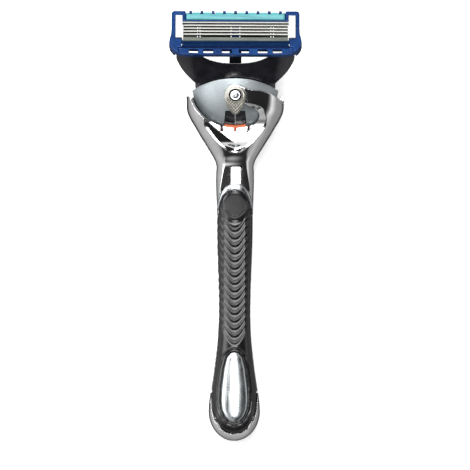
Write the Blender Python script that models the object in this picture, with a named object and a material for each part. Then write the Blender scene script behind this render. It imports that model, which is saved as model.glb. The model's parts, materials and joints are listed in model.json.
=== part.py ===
"""Cartridge razor with a ball-jointed head.

The razor lies on its back: +X to the right in front view, +Y towards the head and +Z out of its front.
Stations are distances along the handle from its butt end. Numbers are millimetres, turned into metres by MM.
The head's mechanism leans forward, so it is drawn in frames of its own that are placed by a matrix.
"""

import math

import bmesh
import bpy
from mathutils import Matrix, Vector

MM = 0.001

# ---- driving dimensions ------------------------------------------------------------------------------------
BUTT_Y = -68.0  # y of the butt end, so that the origin is under the middle of the razor

BALL = Vector((0.0, 112.9, 12.4))  # x, station, z
BALL_RADIUS = 13.77
BALL_HALF_DEPTH = 9.8
SHELL_THICKNESS = 0.9
SHELL_GAP = 0.15
CRADLE_GAP = 0.4
SWING_ROOM = 0.75  # the ball's centre moves this far sideways at the swing's limits
SWING_STATION = 109.5  # the swing axis runs front to back here

PIVOT_STATION = 125.06  # the cartridge's tilt axis
PIVOT_HEIGHT = 26.0
FACE_TILT = math.radians(27)  # the shaving face looks up and away from the handle
YOKE_LEAN = math.radians(28)

SEAM_LOW = 8.0  # the bright strip that parts the two grips along the handle's side
SEAM_HIGH = 9.4
GRIP_THICKNESS = 2.0
FIT_GAP = 0.12

BLADE_COUNT = 5
BLADE_PITCH = 1.05
FIRST_EDGE = 3.05
BLADE_HALF_LENGTH = 17.4
EDGE_HEIGHT = 1.75

# Handle outline: (station, half-width, back z, front z) from the widest part of the butt to the fork's tips.
BULB_STATION = 9.5
HANDLE = [
    (9.5, 8.15, -0.35, 15.5),
    (12.5, 7.95, -0.3, 15.5),
    (16.8, 7.3, 0.1, 15.2),
    (21.8, 6.55, 0.9, 14.8),
    (26.9, 5.9, 1.7, 14.5),
    (32.0, 5.35, 2.3, 14.3),
    (38.3, 5.05, 2.8, 14.3),
    (44.6, 5.05, 3.0, 14.6),
    (51.0, 5.2, 3.1, 15.0),
    (57.3, 5.45, 3.1, 15.4),
    (63.6, 5.65, 3.0, 15.8),
    (70.0, 5.7, 3.0, 16.1),
    (75.0, 5.8, 3.1, 16.3),
    (79.5, 5.95, 3.2, 16.3),
    (84.0, 6.0, 3.3, 16.0),
    (86.4, 5.85, 3.3, 16.0),
    (87.7, 6.0, 3.2, 16.2),
    (89.0, 6.5, 3.0, 16.6),
    (90.2, 7.15, 2.8, 17.0),
    (91.5, 7.95, 2.5, 17.6),
    (94.0, 9.5, 2.0, 18.8),
    (96.6, 11.15, 1.5, 20.0),
    (99.1, 12.6, 1.0, 21.1),
    (101.6, 14.1, 0.6, 22.2),
    (104.2, 15.2, 0.35, 23.2),
    (106.6, 15.4, 0.15, 24.0),
    (109.5, 15.5, 0.05, 24.5),
    (112.9, 15.6, 0.0, 24.8),
    (117.0, 15.2, 0.4, 24.4),
]
SQUARENESS = 2.4  # of the handle's rounded cross-section; 2 would be an ellipse

# What the front of the fork leaves open: (x, station, flare), flare being how far its wall slopes outwards.
FRONT_WINDOW = [
    (-20.0, 109.6, 0.0),
    (-14.4, 109.0, 0.0),
    (-13.6, 107.0, 0.2),
    (-12.4, 104.9, 0.6),
    (-10.4, 102.6, 1.0),
    (-7.3, 99.6, 1.0),
    (-3.6, 96.6, 1.0),
    (-0.6, 94.5, 1.0),
    (0.6, 94.5, 1.0),
    (3.2, 97.0, 1.0),
    (5.6, 99.5, 1.0),
    (7.3, 101.8, 1.0),
    (7.7, 103.2, 0.7),
    (7.0, 104.6, 0.3),
    (5.3, 105.5, 0.1),
    (3.0, 106.9, 0.0),
    (1.6, 106.35, 0.0),
    (0.0, 106.1, 0.0),
    (-1.6, 106.35, 0.0),
    (-3.0, 107.9, 0.0),
    (-3.4, 109.5, 0.0),
    (-3.0, 111.1, 0.0),
    (-1.7, 112.5, 0.0),
    (0.0, 112.9, 0.0),
    (2.2, 112.2, 0.0),
    (4.6, 111.4, 0.1),
    (8.2, 110.9, 0.15),
    (11.6, 109.9, 0.2),
    (13.7, 108.5, 0.2),
    (15.2, 106.6, 0.1),
    (20.0, 106.0, 0.0),
    (20.0, 125.0, 0.0),
    (-20.0, 125.0, 0.0),
]
WINDOW_STEP = 18.0  # above this height the window's wall slopes
WINDOW_TOP = 28.0
WINDOW_FLARE = 7.0

# Front views of the pieces let into the handle: half outlines, (x, station), from the butt towards the head.
GRIP_OUTLINE = [
    (0.0, 2.1), (2.4, 2.6), (4.6, 4.0), (6.2, 6.4), (7.0, 9.4), (7.25, 12.6), (7.35, 16.0), (8.4, 21.0),
    (9.5, 30.0), (9.5, 66.0), (6.3, 69.0), (5.55, 71.8), (4.95, 74.7), (3.95, 77.4), (2.3, 78.9), (0.0, 79.4),
]
RIM_OUTLINE = [(6.6, 70.2), (5.85, 73.2), (5.4, 75.6), (4.7, 78.2), (3.2, 80.4), (1.5, 81.3), (0.0, 81.5)]
BADGE_OUTLINE = [
    (0.0, 5.5), (1.8, 6.1), (3.1, 7.5), (4.2, 9.8), (4.57, 12.6), (4.4, 17.0), (3.6, 23.0), (2.7, 26.4),
    (1.5, 27.9), (0.0, 28.3),
]
REAR_GRIP_OUTLINE = [
    (0.0, 3.4), (3.0, 4.0), (5.6, 6.0), (7.0, 9.4), (7.25, 12.6), (7.35, 16.0), (8.4, 21.0), (9.5, 30.0),
    (9.5, 70.0), (5.2, 76.0), (3.4, 82.5), (1.4, 85.2), (0.0, 85.7),
]

# The ball shells' rims in front view, from the middle outwards.
FRONT_RIM = [(0.0, 114.8), (3.8, 114.55), (7.4, 113.8), (10.6, 112.6), (13.4, 111.0), (20.0, 107.0)]
REAR_RIM = [(0.0, 110.6), (7.4, 110.7), (13.4, 111.0), (20.0, 111.0)]

RIM_PROUD = 0.25
BADGE_PROUD = 0.2


# ---- frames ------------------------------------------------------------------------------------------------
def axes(across, along, out, origin):
    """A matrix whose columns are a local frame's directions and origin, the origin in x, station, z."""
    matrix = Matrix((across, along, out)).transposed().to_4x4()
    matrix.translation = Vector((origin[0], origin[1] + BUTT_Y, origin[2]))
    return matrix


PIVOT = (0.0, PIVOT_STATION, PIVOT_HEIGHT)
HANDLE_FRAME = axes((1, 0, 0), (0, 1, 0), (0, 0, 1), (0, 0, 0))
CARTRIDGE_FRAME = axes(
    (1, 0, 0),
    (0, math.cos(FACE_TILT), -math.sin(FACE_TILT)),
    (0, math.sin(FACE_TILT), math.cos(FACE_TILT)),
    PIVOT,
)
YOKE_FRAME = axes(
    (1, 0, 0),
    (0, math.cos(YOKE_LEAN), math.sin(YOKE_LEAN)),
    (0, -math.sin(YOKE_LEAN), math.cos(YOKE_LEAN)),
    PIVOT,
)


# ---- tools -------------------------------------------------------------------------------------------------
def clear_scene():
    for obj in list(bpy.data.objects):
        bpy.data.objects.remove(obj)


def paint(name, colour, roughness, metallic=0.0):
    made = bpy.data.materials.new(name)
    made.use_nodes = True
    shader = made.node_tree.nodes["Principled BSDF"]
    shader.inputs["Base Color"].default_value = (*colour, 1.0)
    shader.inputs["Roughness"].default_value = roughness
    shader.inputs["Metallic"].default_value = metallic
    return made


def add(name, points, faces, frame=HANDLE_FRAME, finish=None, sharp=32):
    """A mesh object of points in millimetres in a local frame. Without a finish it is a cutter."""
    mesh = bpy.data.meshes.new(name)
    mesh.from_pydata([Vector(point) * MM for point in points], [], faces)
    shape = bmesh.new()
    shape.from_mesh(mesh)
    bmesh.ops.recalc_face_normals(shape, faces=shape.faces)
    shape.to_mesh(mesh)
    shape.free()
    mesh.shade_smooth()
    mesh.set_sharp_from_angle(angle=math.radians(sharp))
    obj = bpy.data.objects.new(name, mesh)
    placed = frame.copy()
    placed.translation = frame.translation * MM
    obj.matrix_world = placed
    bpy.context.scene.collection.objects.link(obj)
    if finish:
        mesh.materials.append(finish)
    else:
        obj.hide_render = True
        obj.display_type = "WIRE"
    return obj


def combine(obj, other, operation="DIFFERENCE"):
    modifier = obj.modifiers.new(operation.title(), "BOOLEAN")
    modifier.operation = operation
    modifier.object = other
    return obj


def loft(rings):
    """Points and faces of a skin over rings of equal length, closed at both ends."""
    count = len(rings[0])
    points = [point for ring in rings for point in ring]
    faces = [
        (r * count + k, r * count + (k + 1) % count, (r + 1) * count + (k + 1) % count, (r + 1) * count + k)
        for r in range(len(rings) - 1)
        for k in range(count)
    ]
    last = (len(rings) - 1) * count
    faces += [tuple(reversed(range(count))), tuple(range(last, last + count))]
    return points, faces


def prism(name, outline, low, high, frame=HANDLE_FRAME, finish=None, sharp=32):
    """A flat outline drawn in the frame's first two directions, raised from low to high along the third."""
    rings = [[(x, y, height) for x, y in outline] for height in (low, high)]
    return add(name, *loft(rings), frame, finish, sharp)


def side_prism(name, outline, low, high, frame, finish=None):
    """An outline drawn in the frame's second and third directions, raised from low to high across it."""
    rings = [[(across, y, z) for y, z in outline] for across in (low, high)]
    return add(name, *loft(rings), frame, finish)


def box(name, low, high, frame=HANDLE_FRAME, finish=None):
    outline = [(low[0], low[1]), (high[0], low[1]), (high[0], high[1]), (low[0], high[1])]
    return prism(name, outline, low[2], high[2], frame, finish)


def circle(centre, radius, count=24, squash=1.0):
    turns = [2 * math.pi * k / count for k in range(count)]
    return [(centre[0] + radius * math.cos(t), centre[1] + radius * squash * math.sin(t)) for t in turns]


def rounded(width, length, radius, centre=(0.0, 0.0), steps=3):
    """Outline of a rectangle with round corners; width and length are halves."""
    points = []
    for quarter, (sx, sy) in enumerate(((1, 1), (-1, 1), (-1, -1), (1, -1))):
        for step in range(steps + 1):
            turn = math.radians(90 * (quarter + step / steps))
            x = sx * (width - radius) + radius * math.cos(turn)
            y = sy * (length - radius) + radius * math.sin(turn)
            points.append((centre[0] + x, centre[1] + y))
    return points


def both_sides(half):
    """A closed outline from its +X half, drawn from one end of the middle line to the other."""
    other = [(-x, y) for x, y in reversed(half) if x > 0]
    return half + other


def curve_through(table, column):
    """A smooth function through one column of a table whose first column is the station."""
    xs = [row[0] for row in table]
    ys = [row[column] for row in table]
    slopes = []
    for k in range(len(xs)):
        before, after = max(k - 1, 0), min(k + 1, len(xs) - 1)
        slopes.append((ys[after] - ys[before]) / (xs[after] - xs[before]))

    def at(x):
        k = 0
        while k < len(xs) - 2 and x > xs[k + 1]:
            k += 1
        span = xs[k + 1] - xs[k]
        t = min(max((x - xs[k]) / span, 0.0), 1.0)
        rest = 1 - t
        return (
            ys[k] * (1 + 2 * t) * rest * rest
            + ys[k + 1] * t * t * (3 - 2 * t)
            + span * (slopes[k] * t * rest * rest - slopes[k + 1] * t * t * rest)
        )

    return at


half_width_at = curve_through(HANDLE, 1)
back_at = curve_through(HANDLE, 2)
front_at = curve_through(HANDLE, 3)


def handle_ring(station, inset=0.0, count=28):
    """The handle's cross-section, drawn in by inset."""
    widest = max(station, BULB_STATION)
    half, back, front = half_width_at(widest), back_at(widest), front_at(widest)
    if station < BULB_STATION:
        share = (BULB_STATION - station) / (BULB_STATION - inset)
        end = math.sqrt(max(1 - share * share, 0.0))
    else:
        end = 1.0
    middle, half_depth = (front + back) / 2, (front - back) / 2
    half, half_depth = (half - inset) * end, (half_depth - inset) * end
    ring = []
    for k in range(count):
        turn = 2 * math.pi * k / count
        x, z = math.cos(turn), math.sin(turn)
        power = 2 / SQUARENESS
        ring.append(
            (
                half * math.copysign(abs(x) ** power, x),
                station,
                middle + half_depth * math.copysign(abs(z) ** power, z),
            )
        )
    return ring


def stations(low, high, step):
    count = max(1, round((high - low) / step))
    return [low + (high - low) * k / count for k in range(count + 1)]


def handle_body(name, low, high, inset=0.0, finish=None):
    """The handle's outer form between two stations, drawn in by inset."""
    ends = [s for s in (inset + 0.12, inset + 0.7, inset + 1.8, inset + 3.4, 6.4) if s >= low]
    places = ends + stations(max(low, BULB_STATION), min(high, 86.0), 4.5)
    places += [s for s in stations(87.5, 118.0, 1.9) if s <= high]
    rings = [handle_ring(s, inset) for s in places]
    return add(name, *loft(rings), HANDLE_FRAME, finish)


def ball(name, radius, half_depth, count=36, bands=18, finish=None, wide=0.0, centre=BALL):
    """A flattened ball; wide is added to its half-width only."""
    rings = []
    for band in range(1, bands):
        lean = math.pi * band / bands
        rings.append(
            [
                (
                    centre.x + (radius + wide) * math.sin(lean) * math.cos(2 * math.pi * k / count),
                    centre.y + radius * math.sin(lean) * math.sin(2 * math.pi * k / count),
                    centre.z - half_depth * math.cos(lean),
                )
                for k in range(count)
            ]
        )
    return add(name, *loft(rings), HANDLE_FRAME, finish)


def coil(name, radius, wire, turns, frame, start, finish):
    """A compression spring along the frame's second direction, from start, (across, along, out, length)."""
    per_turn, sides = 12, 6
    across, along, out, length = start
    rings = []
    for step in range(turns * per_turn + 1):
        turn = 2 * math.pi * step / per_turn
        rise = along + length * step / (turns * per_turn)
        ring = []
        for side in range(sides):
            around = 2 * math.pi * side / sides
            reach = radius + wire * math.cos(around)
            ring.append(
                (
                    across + reach * math.cos(turn),
                    rise + wire * math.sin(around),
                    out + reach * math.sin(turn),
                )
            )
        rings.append(ring)
    return add(name, *loft(rings), frame, finish, 60)


def bevelled(obj, width, segments=2, angle=35):
    modifier = obj.modifiers.new("Bevel", "BEVEL")
    modifier.width = width * MM
    modifier.segments = segments
    modifier.limit_method = "ANGLE"
    modifier.angle_limit = math.radians(angle)
    return obj


# ---- finishes ----------------------------------------------------------------------------------------------
def finishes():
    return {
        "chrome": paint("chrome", (0.72, 0.72, 0.73), 0.08, 1.0),
        "elastomer": paint("elastomer", (0.025, 0.026, 0.028), 0.5),
        "satin_silver": paint("satin_silver", (0.68, 0.71, 0.73), 0.3, 0.9),
        "ball_grey": paint("ball_grey", (0.42, 0.46, 0.48), 0.32, 0.7),
        "black_plastic": paint("black_plastic", (0.012, 0.012, 0.015), 0.14),
        "orange_plastic": paint("orange_plastic", (0.85, 0.14, 0.02), 0.4),
        "blue_plastic": paint("blue_plastic", (0.01, 0.1, 0.34), 0.2),
        "navy_elastomer": paint("navy_elastomer", (0.01, 0.03, 0.2), 0.45),
        "grey_comb": paint("grey_comb", (0.2, 0.22, 0.2), 0.4),
        "strip": paint("lubricant_strip", (0.2, 0.72, 0.7), 0.45),
        "steel": paint("blade_steel", (0.75, 0.75, 0.74), 0.22, 1.0),
        "aluminium": paint("aluminium", (0.86, 0.86, 0.86), 0.35, 1.0),
        "spring": paint("spring_steel", (0.55, 0.55, 0.55), 0.3, 1.0),
    }


# ---- handle ------------------------------------------------------------------------------------------------
def window(name, mirror):
    """Cutter for what the fork leaves open in front or, mirrored through the middle, behind."""
    flat = [(x, y) for x, y, _ in FRONT_WINDOW]
    count = len(flat)
    flared = []
    for k, (x, y, flare) in enumerate(FRONT_WINDOW):
        before, after = Vector(flat[k - 1]), Vector(flat[(k + 1) % count])
        along = (after - before).normalized()
        flared.append((x + along.y * flare * WINDOW_FLARE, y - along.x * flare * WINDOW_FLARE))
    levels = [(BALL.z, flat), (WINDOW_STEP, flat), (WINDOW_TOP, flared)]
    rings = []
    for height, outline in levels:
        if mirror:
            rings.append([(-x, y, 2 * BALL.z - height) for x, y in outline])
        else:
            rings.append([(x, y, height) for x, y in outline])
    return add(name, *loft(rings))


def make_handle(finish):
    frame = handle_body("handle_frame", 0.0, 118.0, 0.0, finish["chrome"])
    combine(frame, window("front_window", False))
    combine(frame, window("rear_window", True))

    web = [(0.0, 92.0), (6.0, 92.0), (9.6, 98.5), (9.6, 101.0), (0.0, 101.0)]
    combine(frame, prism("cradle_web", both_sides(web), 8.4, 15.0), "UNION")
    combine(frame, prism("rear_boss", circle((0, SWING_STATION), 4.2), 0.0, 4.5), "UNION")
    cavity = ball(
        "ball_cavity", BALL_RADIUS + CRADLE_GAP, BALL_HALF_DEPTH + CRADLE_GAP, 48, 24, wide=SWING_ROOM
    )
    combine(frame, cavity)
    combine(frame, prism("pivot_holes", circle((0, SWING_STATION), 2.1), -2.0, 30.0))
    combine(frame, prism("rear_cap_seat", circle((0, SWING_STATION), 3.05), -1.0, 0.85))
    combine(frame, box("foot_room", (-4.6, 98.1, 10.0), (4.6, 101.0, 15.6)))

    slot = [(1.3, 82.5), (1.3, 86.0), (2.2, 90.0), (3.7, 95.0), (4.4, 99.0), (4.3, 101.5)]
    tail_slot = slot + [(-x, y) for x, y in reversed(slot)]
    combine(frame, prism("tail_slot", tail_slot, 8.9, 13.1))

    core = handle_body("frame_core", 4.0, 100.0, GRIP_THICKNESS)
    pocket_half = GRIP_OUTLINE[:10] + RIM_OUTLINE
    front_pocket = prism("front_pocket", both_sides(pocket_half), SEAM_HIGH, 22.0)
    combine(front_pocket, core)
    combine(frame, front_pocket)
    rear_pocket = prism("rear_pocket", both_sides(REAR_GRIP_OUTLINE), -3.0, SEAM_LOW)
    combine(rear_pocket, core)
    combine(frame, rear_pocket)
    combine(frame, box("floor_cut", (-12, -2, -4), (12, 60, 0.0)))


def shrunk(half, gap):
    """A half outline drawn in by gap from its outer edge."""
    points = both_sides(half)
    count = len(points)
    result = []
    for k, (x, y) in enumerate(half):
        before, after = Vector(points[k - 1]), Vector(points[(k + 1) % count])
        along = (after - before).normalized()
        result.append((max(x - along.y * gap, 0.0) if x > 0 else 0.0, y + along.x * gap))
    return result


def make_grips(finish):
    inner = handle_body("grip_inner", 3.6, 100.0, GRIP_THICKNESS - FIT_GAP)

    front = handle_body("front_grip", 0.0, 86.0, 0.0, finish["elastomer"])
    outline = both_sides(shrunk(GRIP_OUTLINE, FIT_GAP))
    combine(front, prism("front_grip_outline", outline, SEAM_HIGH + FIT_GAP, 22.0), "INTERSECT")
    combine(front, inner)
    badge_seat = prism("badge_seat", both_sides(BADGE_OUTLINE), 10.0, 20.0)
    combine(badge_seat, handle_body("badge_floor", 4.0, 40.0, 1.1))
    combine(front, badge_seat)

    rear = handle_body("rear_grip", 0.0, 92.0, 0.0, finish["elastomer"])
    outline = both_sides(shrunk(REAR_GRIP_OUTLINE, FIT_GAP))
    combine(rear, prism("rear_grip_outline", outline, -3.0, SEAM_LOW - FIT_GAP), "INTERSECT")
    combine(rear, inner)
    combine(rear, box("grip_floor_cut", (-12, -2, -4), (12, 60, 0.0)))

    rim = handle_body("grip_rim", 60.0, 90.0, -RIM_PROUD, finish["satin_silver"])
    outer = shrunk(RIM_OUTLINE, FIT_GAP)
    inner_edge = [point for point in GRIP_OUTLINE if point[1] > 71.0]
    arch = outer + [(-x, y) for x, y in reversed(outer[:-1])]
    arch += [(-x, y) for x, y in inner_edge[:-1]] + list(reversed(inner_edge))
    combine(rim, prism("rim_outline", arch, 10.0, 22.0), "INTERSECT")
    combine(rim, inner)

    badge = handle_body("badge", 0.0, 40.0, -BADGE_PROUD, finish["satin_silver"])
    outline = both_sides(shrunk(BADGE_OUTLINE, FIT_GAP))
    combine(badge, prism("badge_outline", outline, 10.0, 20.0), "INTERSECT")
    combine(badge, handle_body("badge_back", 4.0, 40.0, 0.98))


def make_pivot_caps(finish):
    """The shield over the front pivot, its stud, and the flush cap behind."""
    half = [
        (0.35, 103.3), (1.3, 104.1), (2.5, 105.9), (3.2, 107.6), (3.45, 109.4), (3.15, 110.7), (2.2, 111.8),
        (0.9, 112.3),
    ]
    rings = []
    for x, y in half:
        base = front_at(y) + 0.15
        edge, crown = base + 0.7, base + 1.0
        ring = [(-x, y, base), (x, y, base), (x, y, edge), (x * 0.85, y, crown), (-x * 0.85, y, crown)]
        rings.append([*ring, (-x, y, edge)])
    add("pivot_shield", *loft(rings), HANDLE_FRAME, finish["chrome"])
    top = front_at(SWING_STATION) + 1.35
    stud_rings = [
        [(x, y, z) for x, y in circle((0, SWING_STATION), radius, 20)]
        for radius, z in ((1.5, top), (1.5, top + 0.3), (1.2, top + 0.6), (0.6, top + 0.75))
    ]
    add("pivot_stud", *loft(stud_rings), HANDLE_FRAME, finish["satin_silver"])
    prism("rear_pivot_cap", circle((0, SWING_STATION), 2.9), 0.0, 0.7, HANDLE_FRAME, finish["chrome"])


# ---- head --------------------------------------------------------------------------------------------------
def rim_cut(name, arch):
    """Cutter for everything beyond a ball shell's rim, given as half of its front view."""
    edge = [(-x, y) for x, y in reversed(arch[1:])] + arch
    return prism(name, [*edge, (20.0, 130.0), (-20.0, 130.0)], -5.0, 40.0)


def make_ball(finish):
    middle = BALL.z
    inner = ball("shell_inner", BALL_RADIUS - SHELL_THICKNESS, BALL_HALF_DEPTH - SHELL_THICKNESS, 36, 18)
    hole = prism("shell_pin_holes", circle((0, SWING_STATION), 2.3), -2.0, 30.0)
    panel = [(0.0, 96.0), (3.9, 96.0), (3.65, 99.3), (3.15, 104.5), (0.0, 104.5)]
    for name, low, high, rim in (
        ("ball_shell_front", middle + 0.06, 40.0, FRONT_RIM),
        ("ball_shell_rear", -10.0, middle - 0.06, REAR_RIM),
    ):
        shell = ball(name, BALL_RADIUS, BALL_HALF_DEPTH, 40, 20, finish["ball_grey"])
        combine(shell, box(name + "_half", (-20, 90, low), (20, 130, high)), "INTERSECT")
        combine(shell, inner)
        combine(shell, rim_cut(name + "_rim", rim))
        combine(shell, hole)
        combine(shell, prism(name + "_panel", both_sides(panel), 10.2, 40.0))


def make_core(finish):
    """The black body inside the ball, with its two pivot pins and the nose that the cartridge docks on."""
    depth = SHELL_THICKNESS + SHELL_GAP
    core = ball("head_core", BALL_RADIUS - depth, BALL_HALF_DEPTH - depth, 36, 18, finish["black_plastic"])
    combine(core, box("core_top_cut", (-20, -15.1, -30), (20, 5, 20), YOKE_FRAME))
    combine(core, box("button_recess", (-8.5, -21.2, -30), (8.5, 0, -10.4), YOKE_FRAME))
    panel_half = [(0.0, 100.05), (3.4, 100.05), (2.95, 104.3), (0.0, 104.3)]
    panel = ball("core_panel", BALL_RADIUS - 0.2, BALL_HALF_DEPTH - 0.2, 36, 18)
    combine(panel, prism("core_panel_outline", both_sides(panel_half), 15.2, 40.0), "INTERSECT")
    combine(core, panel, "UNION")
    combine(core, prism("core_pins", circle((0, SWING_STATION), 1.9), 0.95, 24.3), "UNION")

    top = PIVOT_STATION - 118.1
    slope = math.tan(YOKE_LEAN)
    lean = math.cos(YOKE_LEAN)
    nose = [
        (-24.0, -7.5),
        (-24.0, -1.6),
        (-top / lean - 1.6 * slope, -1.6),
        (-top / lean - 7.5 * slope, -7.5),
    ]
    combine(core, side_prism("nose", nose, -7.5, 7.5, YOKE_FRAME), "UNION")
    combine(core, box("plunger_bore", (-2.15, -17.9, -5.05), (2.15, 0.0, -2.35), YOKE_FRAME))
    combine(core, box("button_groove", (-1.6, -20.9, -12.0), (1.6, -16.0, -7.9), YOKE_FRAME))
    for side in (-1, 1):
        low, high = sorted((side * 4.8, side * 6.2))
        combine(core, box("prong_slot", (low, -21.2, -12.0), (high, -14.0, -7.6), YOKE_FRAME))
    combine(core, box("foot_seat", (-3.9, 96, 9.9), (3.9, 101.2, 15.0)))


def make_return_tail(finish):
    """The orange cantilever that centres the head: a foot under the ball, a leaf and its cross-bar."""

    def arc(radius, low, high, steps):
        spread = [low + (high - low) * k / steps for k in range(steps + 1)]
        return [
            (radius * math.sin(math.radians(turn)), BALL.y - radius * math.cos(math.radians(turn)))
            for turn in spread
        ]

    foot = arc(13.75, -14.5, 14.5, 8) + arc(12.3, 14.5, -14.5, 8)
    tail = prism("return_tail", foot, 10.3, 14.6, HANDLE_FRAME, finish["orange_plastic"])
    combine(tail, box("tail_leaf", (-0.45, 84.6, 9.4), (0.45, 99.4, 12.6)), "UNION")
    combine(tail, box("tail_bar", (-1.05, 83.4, 9.4), (1.05, 84.9, 12.6)), "UNION")


def make_button(finish):
    button = prism(
        "eject_button", rounded(6.6, 1.75, 1.2, (0, -18.9)), -11.9, -10.55, YOKE_FRAME, finish["satin_silver"]
    )
    for side in (-1, 1):
        low, high = sorted((side * 5.0, side * 6.0))
        combine(button, box("prong", (low, -20.4, -10.7), (high, -17.15, -7.9), YOKE_FRAME), "UNION")
    combine(button, box("thumb_ridge", (-5.4, -19.6, -13.9), (5.4, -18.2, -11.7), YOKE_FRAME), "UNION")
    combine(button, box("tongue", (-1.4, -20.4, -10.7), (1.4, -19.1, -8.2), YOKE_FRAME), "UNION")
    coil("eject_spring", 0.8, 0.17, 4, YOKE_FRAME, (0, -18.85, -9.2, 2.55), finish["spring"])


def make_plunger(finish):
    body = rounded(1.9, 5.6, 0.5, (0, -7.2))
    plunger = prism("plunger", body, -4.85, -2.55, YOKE_FRAME, finish["black_plastic"])
    bevelled(plunger, 0.25)
    coil("plunger_spring", 0.85, 0.18, 6, YOKE_FRAME, (0, -17.5, -3.7, 4.3), finish["spring"])


# ---- yoke --------------------------------------------------------------------------------------------------
YOKE_LOW = [  # (x, lower edge) along the leaning plate
    (0.0, -10.75), (5.0, -11.3), (9.0, -12.3), (11.5, -13.2), (12.6, -13.3), (13.3, -12.75), (14.2, -12.0),
    (15.2, -11.1), (16.3, -9.9), (17.2, -8.5), (17.8, -7.3), (18.4, -5.9), (18.75, -4.4),
]
YOKE_HIGH = [  # (x, upper edge); the crescent between the arms
    (0.0, -5.7), (4.0, -5.5), (6.5, -5.0), (8.5, -4.3), (10.3, -3.35), (12.0, -2.5), (13.5, -1.95),
    (17.0, -1.8),
]
PLATE_FRONT = 1.0
PLATE_BACK = -1.1


def yoke_section(x, low, high):
    """Cross-section of the leaning plate at x; its wings fall back towards their lower edge."""
    slope = math.tan(YOKE_LEAN)
    side = max(abs(x) - 9.5, 0.0)
    top_back = high - (PLATE_FRONT - PLATE_BACK) * slope if high < 0 else 0.4
    if high > 0:
        crest = [(high - 0.1, 0.3), (high - 0.1, -0.7)]
    else:
        crest = [
            (high + (top_back - high) * share, PLATE_FRONT + (PLATE_BACK - PLATE_FRONT) * share)
            for share in (0.35, 0.7)
        ]

    def face(top, out):
        for share in (0.0, 0.5, 1.0):
            along = low + (top - low) * share
            yield along, out - 0.055 * side * side * min(max(-(along + 3.0) / 9.0, 0.0), 1.0)

    outline = [*face(min(high, 0.75), PLATE_FRONT), *crest, *reversed(list(face(top_back, PLATE_BACK)))]
    return [(x, along, out) for along, out in outline]


def make_yoke(finish):
    """The cartridge's connecting yoke: a leaning plate with two arms, the socket behind it and the pins."""
    low_at = curve_through(YOKE_LOW, 1)
    high_at = curve_through(YOKE_HIGH, 1)
    half = [(x, high_at(x)) for x in (0.0, 2.5, 5.0, 7.5, 9.0, 10.5, 12.0, 13.2, 14.2, 15.2, 16.2, 16.95)]
    half += [(x, 1.2) for x in (17.3, 17.9, 18.4, 18.75)]
    across = [(-x, high) for x, high in reversed(half[1:])] + half
    rings = [yoke_section(x, low_at(abs(x)), high) for x, high in across]
    yoke = add("yoke", *loft(rings), YOKE_FRAME, finish["black_plastic"])
    for side in (-1, 1):
        low, high = sorted((side * 18.4, side * 19.95))
        combine(yoke, side_prism("yoke_pin", circle((0, 0), 0.8, 16), low, high, YOKE_FRAME), "UNION")

    slope, lean = math.tan(YOKE_LEAN), math.cos(YOKE_LEAN)
    top = PIVOT_STATION - 119.6
    block = [(-14.8, -9.0), (-14.8, -3.0), (-11.0, -0.4)]
    block += [(-top / lean - 0.4 * slope, -0.4), (-top / lean - 9.0 * slope, -9.0)]
    combine(yoke, side_prism("socket_block", block, -9.3, 9.3, YOKE_FRAME), "UNION")
    nose_top = PIVOT_STATION - 118.4
    socket = [(-16.0, -7.8), (-16.0, -1.3), (-nose_top / lean - 1.3 * slope, -1.3)]
    socket += [(-nose_top / lean - 7.8 * slope, -7.8)]
    combine(yoke, side_prism("socket", socket, -7.8, 7.8, YOKE_FRAME))
    combine(yoke, box("plunger_way", (-2.2, -12.0, -5.1), (2.2, 2.0, -2.25), YOKE_FRAME))


# ---- cartridge ---------------------------------------------------------------------------------------------
HOUSING_HALF = [
    (0.0, -3.6), (16.6, -3.6), (18.4, -3.2), (19.8, -2.3), (20.7, -1.0), (21.05, 0.4), (20.8, 1.9),
    (20.4, 3.4), (20.3, 5.0), (20.3, 10.6), (20.0, 11.2), (19.4, 11.5), (16.1, 11.5), (15.9, 11.25),
    (0.0, 11.25),
]
HOUSING_BACK = -1.8
HOUSING_FACE = 1.9


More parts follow.
